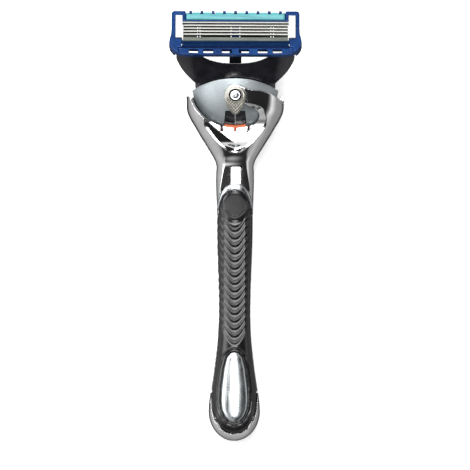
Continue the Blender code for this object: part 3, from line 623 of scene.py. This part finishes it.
def arc_grid(places, limit_at, seam, columns, rear=False):
    """Points over the handle's front or back, out to an outline or the seam, and their way to the edge."""
    share = np.linspace(-1, 1, columns)
    rows, edges = [], []
    turns = np.linspace(-0.35, math.pi / 2, 900)
    for station in places:
        half, middle, depth = section_at(station)
        power = 2 / SQUARENESS
        x = half * np.abs(np.cos(turns)) ** power
        z = depth * np.sign(np.sin(turns)) * np.abs(np.sin(turns)) ** power
        z = middle - z if rear else middle + z
        keep = (x <= max(limit_at(station), 0.05)) & ((z <= seam) if rear else (z >= seam))
        x, z = x[keep][::-1], z[keep][::-1]
        way = np.concatenate([[0], np.cumsum(np.hypot(np.diff(x), np.diff(z)))])
        wanted = np.abs(share) * way[-1]
        side = np.sign(share) * (-1 if rear else 1)
        x, z = (np.interp(wanted, way, values) for values in (x, z))
        rows.append(np.stack([side * x, np.full(columns, station), z], axis=1))
        edges.append((1 - np.abs(share)) * way[-1])
    return np.array(rows), np.array(edges)


def limit_through(half):
    """Half-width of an outline at a station, from its half drawn from the butt towards the head."""
    ys = [y for _, y in half]
    xs = [x for x, _ in half]
    return lambda station: float(np.interp(station, ys, xs))


def end_stations(low, high, pitch):
    """Stations from low to high, closer together near both ends."""
    reach = 1.2
    start = low + reach * np.linspace(0.02, 1, 18) ** 2
    end = high - reach * np.linspace(1, 0.02, 18) ** 2
    return np.concatenate([start, np.arange(low + reach + pitch, high - reach, pitch), end])


# ---- handle ----
# (station, outer edge, inner edge) of the flat between the side and the inner facet
RIDGES = [
    (80.0, 4.3, 4.3), (84.0, 3.5, 3.5), (88.1, 2.7, 2.7), (90.6, 2.9, 2.7), (92.6, 3.7, 2.7),
    (94.9, 6.2, 5.1), (99.5, 9.7, 8.7), (101.7, 10.8, 10.0), (103.8, 11.6, 10.7),
    (106.8, 13.9, 13.1), (112.0, 14.2, 13.4),
]
NECK_CROWN = 0.022
LOWEST_FRONT = BALL_Z + 1.0


def window_cutter(name, mirror):
    flat = rounded_outline(FRONT_WINDOW[1:-4], 4, closed=False)
    flat = [FRONT_WINDOW[0], *flat, *FRONT_WINDOW[-5:]]
    levels = (2 * BALL_Z - 40, BALL_Z) if mirror else (BALL_Z, 40.0)
    return prism(name, [(-x, y) for x, y in flat] if mirror else flat, *levels)


def carve_front(obj):
    """Planes the neck's and the arms' front into a middle face with facets falling away beside it."""
    points = coordinates(obj)
    x, y, z = points.T
    outer, inner = curve_through(RIDGES, 1)(y), curve_through(RIDGES, 2)(y)
    flat = front_surface(outer, y)
    fade = step(y, 77.5, 78.5) * (1 - step(y, 99.0, 107.5))
    top = front_at(y) * (1 - fade) + flat * fade - NECK_CROWN * x * x * (1 - step(y, 88.0, 92.0)) * fade
    inside = np.maximum(inner - np.abs(x), 0.0)
    slope = 0.45 * step(y, 91.0, 94.0) * (1 - step(y, 103.0, 107.5))
    top = top - slope * inside
    open_middle = step(y, 112.5, 113.5)
    lowered = np.minimum(z, np.maximum(top, LOWEST_FRONT))
    front = (z > BALL_Z) & (y > 77.0)
    points[:, 2] = np.where(front, lowered * (1 - open_middle) + z * open_middle, z)
    reshape(obj, points)


def make_frame():
    frame = handle_body("frame_blank", 0.0, 118.0, 0.0, "chrome")
    combine(frame, window_cutter("front_window", False))
    combine(frame, window_cutter("rear_window", True))
    web = [(0.0, 92.0), (6.0, 92.0), (9.6, 98.5), (9.6, 101.0), (0.0, 101.0)]
    combine(frame, prism("cradle_web", both_sides(web), 8.4, 15.0), "UNION")
    combine(frame, prism("rear_boss", circle((0, SWING_STATION), 4.2), 0.0, 4.5), "UNION")
    combine(frame, ball("ball_cavity", BALL_RADIUS + 0.4, BALL_HALF_DEPTH + 0.4, 96, 48, wide=0.75))
    combine(frame, prism("pivot_holes", circle((0, SWING_STATION), 2.1), -2.0, 30.0))
    combine(frame, prism("rear_cap_seat", circle((0, SWING_STATION), 3.05), -1.0, 0.85))
    combine(frame, box("foot_room", (-4.6, 98.1, 10.0), (4.6, 101.0, 15.6)))
    slot = [(1.3, 82.5), (1.3, 86.0), (2.2, 90.0), (3.7, 95.0), (4.4, 99.0), (4.3, 101.5)]
    combine(frame, prism("tail_slot", slot + [(-x, y) for x, y in reversed(slot)], 8.9, 13.1))

    mouth = [*GRIP_OUTLINE[:12], (5.35, 73.2), *RIM_OUTLINE[2:]]
    pocket = prism("front_pocket", both_sides(mouth), SEAM_HIGH, 22.0)
    combine(frame, combine(pocket, handle_body("frame_core", 4.0, 100.0, 2.0)))
    pocket = prism("rear_pocket", both_sides(REAR_GRIP_OUTLINE), -3.0, SEAM_LOW)
    combine(frame, combine(pocket, handle_body("frame_core", 4.0, 100.0, 2.0)))
    combine(frame, box("floor_cut", (-12, -2, -4), (12, 60, 0.0)))
    remesh(frame, 0.2, 5)
    carve_front(frame)
    show("frame_plated", frame, "handle", "handle_frame")


RIB_PITCH, FIRST_RIB, LAST_RIB = 2.39, 31.0, 66.8
CHANNEL = 3.56
KNURL_TURN, KNURL_PITCH = math.radians(47), 0.7


def grip_height(x, y, edge):
    """How far the rubber stands above, or below, the handle's outline."""
    reach = np.abs(x)
    bow = np.where(reach < CHANNEL, 4.1 * (reach / CHANNEL) ** 1.9, 4.1 + 2.5 * (reach - CHANNEL))
    phase = (y - bow - FIRST_RIB) / RIB_PITCH
    off = (phase - np.round(phase)) * RIB_PITCH
    second = phase - 0.36
    off_second = (second - np.round(second)) * RIB_PITCH
    main = 0.5 * bell(off, 0.36)
    minor = 0.26 * bell(off_second, 0.22)
    sides = step(reach, 3.35, 3.75)
    notch = 1 - 0.75 * bell(reach - CHANNEL - 0.05, 0.16)
    amount = (1 - 0.5 * sides) * notch * (1 - 0.5 * step(reach, 4.9, 5.6))
    ribs = (main + minor * (1 - 0.6 * sides)) * amount
    ribbed = step(y - bow, FIRST_RIB - 0.9, FIRST_RIB - 0.5)
    ribbed = ribbed * (1 - step(y - bow, LAST_RIB + 0.7, LAST_RIB + 1.2))
    height = ribbed * (ribs - 0.28 * (1 - 0.5 * sides))

    lip = 70.6 + 2.2 * (reach / 3.07) ** 2
    crest = bell(y - lip, 0.34) * (1 - step(reach, 2.9, 3.4))
    top = 78.3 - 0.2 * reach**2
    pad = step(y, lip + 0.2, lip + 0.5) * (1 - step(y, top - 0.3, top)) * (1 - step(reach, 3.3, 3.7))
    knurl = np.zeros_like(x)
    for side in (-1, 1):
        u = (x * side * math.cos(KNURL_TURN) + y * math.sin(KNURL_TURN)) / KNURL_PITCH
        knurl = np.maximum(knurl, bell((u - np.round(u)) * KNURL_PITCH, 0.15))
    height = height + 0.5 * crest + pad * (0.3 * knurl - 0.42)
    above = bell(y - bow * 0.55 - 68.3, 0.22) * (1 - step(reach, 2.4, 3.0))
    height = height + 0.16 * above
    height = height + 0.3 * bell(y - 29.4, 0.25) * (1 - step(reach, 0.9, 1.4))

    ring = outline_distance(both_sides(BADGE_OUTLINE), x, y)
    height = height + 0.26 * bell(ring - 1.05, 0.22)
    height = np.where(ring < 0.12, -1.15, height)
    return height - 0.45 * np.maximum(1 - edge / 0.6, 0) ** 2


def make_front_grip():
    outline = shrunk(GRIP_OUTLINE, 0.12)
    base, edge = arc_grid(end_stations(2.25, 79.25, 0.17), limit_through(outline), SEAM_HIGH + 0.12, 150)
    grip = skin("grip_rubber", base, grip_height(base[..., 0], base[..., 1], edge), 1.85, "rubber")
    show("grip_ribbed", grip, "handle", "front_grip")


def make_rear_grip():
    outline = shrunk(REAR_GRIP_OUTLINE, 0.12)
    limit = limit_through(outline)
    base, edge = arc_grid(end_stations(3.55, 85.5, 0.22), limit, SEAM_LOW - 0.12, 110, rear=True)
    x, y = base[..., 0], base[..., 1]
    bow = 0.09 * x * x
    phase = (y - bow) / RIB_PITCH
    ribs = 0.16 * bell((phase - np.round(phase)) * RIB_PITCH, 0.5) - 0.2
    height = ribs * step(y, 26.0, 28.0) * (1 - step(y, 70.0, 72.0)) - 0.4 * np.maximum(1 - edge / 0.6, 0) ** 2
    grip = skin("rear_rubber", base, height, 1.85, "rubber")
    points = coordinates(grip)
    points[:, 2] = np.maximum(points[:, 2], 0.0)
    reshape(grip, points)
    show("rear_grip_ribbed", grip, "handle", "rear_grip")


def make_badge():
    limit = limit_through(shrunk(BADGE_OUTLINE, 0.12))
    base, edge = arc_grid(end_stations(5.64, 28.16, 0.25), limit, SEAM_HIGH, 60)
    height = -0.35 + 0.62 * (1 - np.exp(-edge / 0.5)) + 0.12 * np.tanh(edge / 3)
    show("badge_domed", skin("badge_skin", base, height, 1.0, "satin"), "handle", "badge")


def along_arch(half, count):
    """Points evenly spaced along an arch given by its right half, from the left foot to the right."""
    points = np.array(half, float)[::-1]
    way = np.concatenate([[0], np.cumsum(np.hypot(*np.diff(points, axis=0).T))])
    wanted = np.linspace(-1, 1, count)
    x = np.interp(np.abs(wanted) * way[-1], way, points[:, 0])
    y = np.interp(np.abs(wanted) * way[-1], way, points[:, 1])
    return np.stack([np.sign(wanted) * x, y], axis=1)


def make_rim():
    outer = along_arch(shrunk(RIM_OUTLINE, 0.12)[2:], 181)
    inner = along_arch([(5.2, 73.4), *(point for point in GRIP_OUTLINE if point[1] > 74.0)], 181)
    shares = np.linspace(0, 1, 13)
    flat = inner[None] * (1 - shares[:, None, None]) + outer[None] * shares[:, None, None]
    x, y = flat[..., 0], flat[..., 1]
    base = np.stack([x, y, front_surface(x, y)], axis=2)
    side = (2 * shares - 1)[:, None]
    height = np.broadcast_to(0.26 - 0.3 * np.abs(side) ** 3, x.shape)
    rim = skin("rim_skin", base, height, 1.5, "satin")
    show("grip_rim_crescent", rim, "handle", "grip_rim")


SHIELD_HALF = [
    (0.35, 103.3), (1.3, 104.1), (2.5, 105.9), (3.2, 107.6), (3.45, 109.4), (3.15, 110.7),
    (2.2, 111.8), (0.9, 112.3),
]
SHIELD_HOLE, SHIELD_KNURL_PITCH = 1.55, 0.7


def make_shield():
    """The teardrop plate: a polar grid from a ring groove round the stud out to a rounded border."""
    turns = np.linspace(0, 2 * math.pi, 192, endpoint=False)
    outline = rounded_outline(SHIELD_HALF + [(-x, y) for x, y in reversed(SHIELD_HALF)], 5)
    angle = np.array([math.atan2(y - SWING_STATION, x) for x, y in outline])
    radius = np.array([math.hypot(x, y - SWING_STATION) for x, y in outline])
    order = np.argsort(angle)
    reach = np.interp(turns, angle[order], radius[order], period=2 * math.pi)
    rings = []
    for share in np.linspace(0, 1, 44):
        r = SHIELD_HOLE + (reach - SHIELD_HOLE) * share
        x, y = r * np.cos(turns), SWING_STATION + r * np.sin(turns)
        gap = reach - r
        crown = 0.75 + 0.3 * step(gap, 0.0, 0.6)
        groove = 0.55 * bell(r - 1.72, 0.16)
        lower = step(SWING_STATION - y, 0.4, 1.4) * step(gap, 0.45, 0.7) * step(r, 2.1, 2.4)
        knurl = np.zeros_like(x)
        for side in (-1, 1):
            u = (x * side * 0.72 + y * 0.69) / SHIELD_KNURL_PITCH
            knurl = np.maximum(knurl, bell((u - np.round(u)) * SHIELD_KNURL_PITCH, 0.15))
        collar = 0.14 * bell(r - 2.05, 0.2)
        z = front_at(y) + 0.15 + crown - groove + collar + lower * (0.32 * knurl - 0.2)
        rings.append(np.stack([x, y, z], axis=1))
    bottom = rings[-1].copy()
    bottom[:, 2] = front_at(bottom[:, 1]) + 0.15
    rings.append(bottom)
    hole = rings[0].copy()
    hole[:, 2] = front_at(hole[:, 1]) + 0.15
    rings.append(hole)
    points = np.concatenate(rings)
    count, total = len(turns), len(rings)
    faces = []
    for r in range(total):
        for k in range(count):
            a, b = r * count, ((r + 1) % total) * count
            faces.append((a + k, a + (k + 1) % count, b + (k + 1) % count, b + k))
    shield = build("shield_knurled", points, faces, HANDLE_FRAME, "shield", 50)
    show("shield_teardrop", shield, "handle", "pivot_shield")


def lathe(name, profile, centre, base, finish, count=64):
    """Rings of (radius, height) about an upright axis, closed at both ends."""
    rings = [[(x, y, base + height) for x, y in circle(centre, radius, count)] for radius, height in profile]
    return build(name, *loft(rings), HANDLE_FRAME, finish, 35)


def make_stud():
    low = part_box("pivot_stud")[0].z / MM
    profile = [(1.42, 0.0), (1.5, 0.05), (1.5, 0.22), (1.44, 0.28), (1.3, 0.28), (1.24, 0.2), (1.18, 0.2)]
    profile += [(1.1 * math.cos(t), 0.22 + 0.5 * math.sin(t)) for t in np.linspace(0, 1.2, 9)]
    profile += [(0.22, 0.6), (0.1, 0.5)]
    stud = lathe("stud_dome", profile, (0, SWING_STATION), low, "satin")
    show("stud_jewel", stud, "handle", "pivot_stud")


# ---- head ----
# (x, station) of the ball shells' upper edges, then the creases' ends
FRONT_RIM = [(0.0, 114.8), (3.8, 114.55), (7.4, 113.8), (10.6, 112.6), (13.4, 111.0), (20.0, 107.0)]
REAR_RIM = [(0.0, 110.6), (7.4, 110.7), (13.4, 111.0), (20.0, 111.0)]
CREASES = [((-1.2, 112.2), (-3.1, 113.7)), ((1.4, 112.3), (4.4, 113.95))]


def rim_cut(name, arch):
    fine = curve_through(arch, 1)
    xs = np.linspace(0, arch[-1][0], 40)
    half = [(float(x), float(fine(x))) for x in xs]
    edge = [(-x, y) for x, y in reversed(half[1:])] + half
    return prism(name, [*edge, (20.0, 130.0), (-20.0, 130.0)], -5.0, 40.0)


def make_ball():
    panel = [(0.0, 96.0), (3.9, 96.0), (3.65, 99.3), (3.15, 104.5), (0.0, 104.5)]
    for node, low, high, rim in (
        ("ball_shell_front", BALL_Z + 0.06, 40.0, FRONT_RIM),
        ("ball_shell_rear", -10.0, BALL_Z - 0.06, REAR_RIM),
    ):
        shell = ball("shell", BALL_RADIUS, BALL_HALF_DEPTH, finish="ball")
        combine(shell, box("half", (-20, 90, low), (20, 130, high)), "INTERSECT")
        combine(shell, ball("shell_inner", BALL_RADIUS - 0.9, BALL_HALF_DEPTH - 0.9, 96, 48))
        combine(shell, rim_cut("rim", rim))
        combine(shell, prism("pin_hole", circle((0, SWING_STATION), 2.3), -2.0, 30.0))
        combine(shell, prism("panel_cut", both_sides(panel), 10.2, 40.0))
        if node == "ball_shell_front":
            for start, end in CREASES:
                along = (Vector(end) - Vector(start)).normalized()
                side = Vector((-along.y, along.x)) * 0.13
                corners = [Vector(start) - side, Vector(end) - side, Vector(end) + side, Vector(start) + side]
                combine(shell, prism("crease", [tuple(c) for c in corners], 21.75, 30.0))
        shell.data.set_sharp_from_angle(angle=math.radians(30))
        show(node + "_satin", shell, "head", node)


def make_panel_line():
    """The thin bright bead down the middle of the black panel."""
    rings = []
    for s in np.linspace(100.1, 104.1, 20):
        rise = math.sqrt(max(1 - ((s - (BALL_Y - BUTT_Y)) / (BALL_RADIUS - 0.2)) ** 2, 0))
        z = BALL_Z + (BALL_HALF_DEPTH - 0.2) * rise
        side = [(-0.13, s, z - 0.3), (-0.13, s, z + 0.04)]
        rings.append([*side, (0.0, s, z + 0.12), *((0.13, s, height) for _, _, height in reversed(side))])
    bead = build("panel_bead", *loft(rings), HANDLE_FRAME, "satin", 50)
    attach(bead, "head")


# ---- yoke ----
# (x, distance from the cartridge's pivot along the plate) of its lower and upper edge
YOKE_LOW = [
    (0.0, -10.75), (5.0, -11.3), (9.0, -12.3), (11.5, -13.2), (12.6, -13.3), (13.3, -12.75), (14.2, -12.0),
    (15.2, -11.1), (16.3, -9.9), (17.2, -8.5), (17.8, -7.3), (18.4, -5.9), (18.75, -4.4),
]
YOKE_HIGH = [
    (0.0, -5.7), (4.0, -5.5), (6.5, -5.0), (8.5, -4.3), (10.3, -3.35), (12.0, -2.5), (13.5, -1.95),
    (17.0, -1.8),
]
PLATE_FRONT, PLATE_BACK = 1.0, -1.1


def yoke_section(x, low, high):
    slope = math.tan(YOKE_LEAN)
    side = max(abs(x) - 9.5, 0.0)
    top_back = high - (PLATE_FRONT - PLATE_BACK) * slope if high < 0 else 0.4
    if high > 0:
        crest = [(high - 0.1, 0.3), (high - 0.1, -0.7)]
    else:
        crest = [
            (high + (top_back - high) * share, PLATE_FRONT + (PLATE_BACK - PLATE_FRONT) * share)
            for share in (0.35, 0.7)
        ]

    def face(top, out):
        for share in np.linspace(0, 1, 9):
            along = low + (top - low) * share
            yield along, out - 0.055 * side * side * min(max(-(along + 3.0) / 9.0, 0.0), 1.0)

    outline = [*face(min(high, 0.75), PLATE_FRONT), *crest, *reversed(list(face(top_back, PLATE_BACK)))]
    return [(x, along, out) for along, out in outline]


def make_yoke():
    low_at, high_at = curve_through(YOKE_LOW, 1), curve_through(YOKE_HIGH, 1)
    xs = list(np.arange(0, 16.9, 0.45)) + [16.95]
    half = [(float(x), float(high_at(x))) for x in xs] + [(x, 1.2) for x in (17.3, 17.7, 18.1, 18.5, 18.75)]
    across = [(-x, high) for x, high in reversed(half[1:])] + half
    sections = [yoke_section(x, float(low_at(abs(x))), high) for x, high in across]
    yoke = build("yoke_blank", *loft(sections), YOKE_FRAME, "black")
    for side in (-1, 1):
        low, high = sorted((side * 18.4, side * 19.95))
        combine(yoke, side_prism("pin", circle((0, 0), 0.85, 32), low, high, YOKE_FRAME), "UNION")
    slope, lean = math.tan(YOKE_LEAN), math.cos(YOKE_LEAN)
    station = TILT.y - BUTT_Y
    top = station - 119.6
    block = [(-14.8, -9.0), (-14.8, -3.0), (-11.0, -0.4)]
    block += [(-top / lean - 0.4 * slope, -0.4), (-top / lean - 9.0 * slope, -9.0)]
    combine(yoke, side_prism("block", block, -9.3, 9.3, YOKE_FRAME), "UNION")
    nose_top = station - 118.4
    socket = [(-16.0, -7.8), (-16.0, -1.3), (-nose_top / lean - 1.3 * slope, -1.3)]
    socket += [(-nose_top / lean - 7.8 * slope, -7.8)]
    combine(yoke, side_prism("socket", socket, -7.8, 7.8, YOKE_FRAME))
    combine(yoke, box("plunger_way", (-2.2, -12.0, -5.1), (2.2, 2.0, -2.25), YOKE_FRAME))
    remesh(yoke, 0.16, 4)
    show("yoke_polished", yoke, "yoke", "yoke")


# ---- cartridge ----
HOUSING_HALF = [
    (0.0, -3.6), (16.6, -3.6), (18.4, -3.2), (19.8, -2.3), (20.7, -1.0), (21.05, 0.4), (20.8, 1.9),
    (20.4, 3.4), (20.3, 5.0), (20.3, 10.6), (20.0, 11.2), (19.4, 11.5), (16.1, 11.5), (15.9, 11.25),
    (0.0, 11.25),
]


TAB_PITCH = 3.55


def make_housing():
    housing = prism("housing_blank", both_sides(HOUSING_HALF), -1.8, 1.9, CARTRIDGE_FRAME, "blue")

    def cut(low, high):
        combine(housing, box("cut", low, high, CARTRIDGE_FRAME))

    cut((-17.6, 1.6, -0.3), (17.6, 7.95, 5.0))
    for left, right in ((-17.0, -11.9), (-11.3, -1.3), (1.3, 11.3), (11.9, 17.0)):
        cut((left, 1.75, -5.0), (right, 7.95, 0.5))
    cut((-15.75, 8.25, 0.7), (15.75, 12.0, 5.0))
    cut((-17.1, -1.4, 1.0), (17.1, 1.8, 5.0))
    cut((-19.05, -6.0, -5.0), (19.05, 1.45, 0.2))
    cut((-18.2, -6.0, 1.2), (18.2, -1.35, 5.0))
    for side in (-1, 1):
        low, high = sorted((side * 17.1, side * 19.05))
        combine(housing, side_prism("eye_room", circle((0, 0), 1.5, 48), low, high, CARTRIDGE_FRAME))
    combine(housing, side_prism("pin_bores", circle((0, 0), 0.98, 48), -20.2, 20.2, CARTRIDGE_FRAME))
    bar = both_sides(HOUSING_HALF[:3] + [(19.6, -2.4), (19.6, -1.7), (16.9, -1.7), (16.9, -1.2), (0.0, -1.2)])
    combine(housing, prism("lower_bar", bar, -0.6, 0.6, CARTRIDGE_FRAME), "UNION")
    bump = [(-0.9, -3.0), (0.9, -3.0), (0.35, -1.9), (-0.35, -1.9)]
    combine(housing, prism("bump", bump, -0.2, 1.15, CARTRIDGE_FRAME), "UNION")
    for centre, half in ((2.7, 1.6), (8.6, 1.55), (13.3, 1.45)):
        for side in (-1, 1):
            cut((side * centre - half, -3.05, -5.0), (side * centre + half, -1.7, 5.0))
    cam = [(3.9, -0.8), (2.5, -0.8), (2.46, -3.0), (2.7, -3.6), (3.26, -3.82), (3.82, -3.6), (4.06, -3.0)]
    combine(housing, side_prism("cam", cam, -1.25, 1.25, CARTRIDGE_FRAME), "UNION")
    for side in (-1, 1):
        low, high = sorted((side * 16.75, side * 19.05))
        for leg in (1.8, 9.35):
            cut((low, leg, -5.0), (high, leg + 0.5, 5.0))
    for tab in range(-4, 5):
        middle = tab * TAB_PITCH
        low, high = (middle - 0.5, 10.5, 0.4), (middle + 0.5, 11.3, 2.3)
        combine(housing, box("tab", low, high, CARTRIDGE_FRAME), "UNION")
    remesh(housing, 0.12, 3)
    show("housing_moulded", housing, "cartridge", "cartridge_housing")


STRIP_HALF_LENGTH = 15.6


def make_strip():
    """The strip: a softly crowned bar, drawn in at its ends."""
    rings = []
    ends = STRIP_HALF_LENGTH - np.array([0.6, 0.3, 0.1, 0.0])
    for u in np.concatenate([-ends[::-1], np.linspace(-14.8, 14.8, 297), ends]):
        end = max(STRIP_HALF_LENGTH - abs(u), 0.0)
        drop = 0.35 * max(1 - end / 0.5, 0) ** 2
        off = abs(u - TAB_PITCH * round(u / TAB_PITCH))
        back = 11.1 if off > 0.62 else 10.4
        ring = [(u, 8.4, 0.85), (u, back, 0.85), (u, back, 1.5 - drop)]
        for v in np.linspace(back - 0.15, 8.55, 13):
            crown = 0.2 * (1 - ((v - 9.75) / 1.2) ** 2)
            line = 0.03 * math.sin(v * 14)
            ring.append((u, float(v), 1.95 + crown + line - drop))
        ring.append((u, 8.4, 1.5 - drop))
        rings.append(ring)
    strip = build("strip_crowned", *loft(rings), CARTRIDGE_FRAME, "strip", 60)
    show("lubricant_bar", strip, "cartridge", "lubricating_strip")


FIN_PITCH, FIRST_FIN, BLOCK_PITCH = 0.5, -0.95, 0.9


def make_fins():
    """Four soft fins, each cut into short blocks, on one base."""
    us = np.linspace(-16.9, 16.9, 677)
    vs = np.linspace(-1.25, 0.85, 43)
    u, v = np.meshgrid(us, vs, indexing="ij")
    phase = (v - FIRST_FIN) / FIN_PITCH
    ridge = np.exp(-(((phase - np.round(phase)) * FIN_PITCH / 0.13) ** 4))
    block = (u + BLOCK_PITCH / 2 * np.round(phase)) / BLOCK_PITCH
    notch = 1 - 0.8 * bell((block - np.round(block)) * BLOCK_PITCH, 0.1)
    inside = step(v, -1.25, -1.1)
    w = 1.4 + 0.58 * ridge * notch * inside
    base = np.stack([u, v, np.full_like(u, 1.15)], axis=2)
    fins = skin("fin_blocks", base[:, ::-1], (w - 1.15)[:, ::-1], 0.0, "navy", CARTRIDGE_FRAME)
    show("guard_fin_rows", fins, "cartridge", "guard_fins")


for maker in (
    make_frame, make_front_grip, make_rear_grip, make_badge, make_rim, make_shield, make_stud, make_ball,
    make_panel_line, make_yoke, make_housing, make_strip, make_fins,
):
    maker()


# ---- floor, light and camera ----
def area_light(name, place, target, width, height, power):
    """A rectangular light whose width lies across the object, along X."""
    data = bpy.data.lights.new(name, "AREA")
    data.shape = "RECTANGLE"
    data.size, data.size_y = width, height
    data.energy = power
    light = bpy.data.objects.new(name, data)
    out = (Vector(place) - Vector(target)).normalized()
    side = Vector((0, 1, 0)).cross(out).normalized()
    turned = Matrix((side, out.cross(side), out)).transposed().to_4x4()
    turned.translation = Vector(place)
    light.matrix_world = turned
    bpy.context.scene.collection.objects.link(light)


FLOOR_GLOW = 0.45  # weakens the shadow beside the handle


def make_floor():
    mesh = bpy.data.meshes.new("studio_floor")
    half = 3.0
    corners = [(-half, -half, 0), (half, -half, 0), (half, half, 0), (-half, half, 0)]
    mesh.from_pydata(corners, [], [(0, 1, 2, 3)])
    floor = bpy.data.objects.new("studio_floor", mesh)
    floor.location.z = -0.0004
    bpy.context.scene.collection.objects.link(floor)
    s = Shader(
        "floor_paper", Roughness=0.9, Specular_IOR_Level=0.0,
        Emission_Color=(1, 1, 1, 1), Emission_Strength=FLOOR_GLOW,
    )
    s.colour(s.ramp(s.noise(60), [(0.3, (0.92, 0.92, 0.92)), (0.7, (0.94, 0.94, 0.94))]))
    floor.data.materials.append(s.material)
    floor.visible_glossy = False


# (height of the direction from straight down 0 to straight up 1, brightness) on each side
WORLD_LEFT = [
    (0.0, 0.03), (0.05, 0.06), (0.14, 0.42), (0.42, 0.62), (0.66, 0.6), (0.72, 0.9), (0.90, 1.1),
    (0.94, 0.06), (1.0, 0.02),
]
WORLD_RIGHT = [
    (0.0, 0.03), (0.05, 0.06), (0.14, 0.3), (0.42, 0.35), (0.6, 0.95), (0.66, 0.25), (0.72, 0.02),
    (1.0, 0.02),
]
WORLD_HEAD = [
    (0.0, 0.02), (0.4, 0.1), (0.5, 0.6), (0.66, 0.8), (0.74, 1.2), (0.86, 1.2), (0.93, 0.1),
    (1.0, 0.02),
]
WORLD_BUTT = [(0.0, 0.02), (0.1, 0.3), (0.5, 0.55), (0.64, 0.4), (0.7, 0.03), (1.0, 0.02)]


def make_world():
    """The studio by direction: each side has its own run of light from the ground up to overhead."""
    world = bpy.data.worlds.new("studio")
    bpy.context.scene.world = world
    world.use_nodes = True
    tree = world.node_tree
    background = tree.nodes["Background"]
    coordinate = tree.nodes.new("ShaderNodeTexCoord")
    split = tree.nodes.new("ShaderNodeSeparateXYZ")
    tree.links.new(coordinate.outputs["Generated"], split.inputs["Vector"])

    def spread(axis, low, high):
        made = tree.nodes.new("ShaderNodeMapRange")
        made.interpolation_type = "SMOOTHSTEP"
        made.inputs["From Min"].default_value = low
        made.inputs["From Max"].default_value = high
        tree.links.new(split.outputs[axis], made.inputs["Value"])
        return made.outputs["Result"]

    lift = tree.nodes.new("ShaderNodeMapRange")
    lift.inputs["From Min"].default_value = -1.0
    lift.inputs["From Max"].default_value = 1.0
    tree.links.new(split.outputs["Z"], lift.inputs["Value"])

    def run(stops):
        ramp = tree.nodes.new("ShaderNodeValToRGB")
        elements = ramp.color_ramp.elements
        while len(elements) < len(stops):
            elements.new(0.5)
        for element, (position, value) in zip(elements, stops):
            element.position = position
            element.color = (value, value, value, 1)
        tree.links.new(lift.outputs["Result"], ramp.inputs["Fac"])
        return ramp.outputs["Color"]

    def blend(factor, first, second):
        made = tree.nodes.new("ShaderNodeMix")
        made.data_type = "RGBA"
        tree.links.new(factor, made.inputs[0])
        tree.links.new(first, made.inputs[6])
        tree.links.new(second, made.inputs[7])
        return made.outputs[2]

    sides = blend(spread("X", -0.2, 0.2), run(WORLD_LEFT), run(WORLD_RIGHT))
    sides = blend(spread("Y", 0.5, 0.75), sides, run(WORLD_HEAD))
    sides = blend(spread("Y", -0.5, -0.75), sides, run(WORLD_BUTT))
    tree.links.new(sides, background.inputs["Color"])
    background.inputs["Strength"].default_value = 1.0


PHOTO_PIXELS, PIXEL_SIZE = 470, 0.3166


def make_camera():
    data = bpy.data.cameras.new("camera")
    data.type = "ORTHO"
    data.ortho_scale = PHOTO_PIXELS * PIXEL_SIZE * MM
    camera = bpy.data.objects.new("camera", data)
    camera.location = (0.06 * MM, -2.8 * MM, 0.6)
    camera.rotation_euler = (0, 0, math.radians(0.2))
    data.clip_start, data.clip_end = 0.01, 10
    bpy.context.scene.collection.objects.link(camera)
    bpy.context.scene.camera = camera


make_floor()
make_world()
area_light("key", (-0.08, 0.38, 0.6), (0, 0, 0), 0.6, 0.45, 5.5)
area_light("window", (0.012, 0.01, 0.7), (0.012, 0.01, 0), 0.17, 0.56, 1.6)
area_light("left_card", (-0.6, 0.05, 0.35), (0, 0, 0.01), 0.4, 0.7, 2.0)
make_camera()
bpy.context.scene.view_settings.view_transform = "Standard"
bpy.context.scene.view_settings.look = "None"
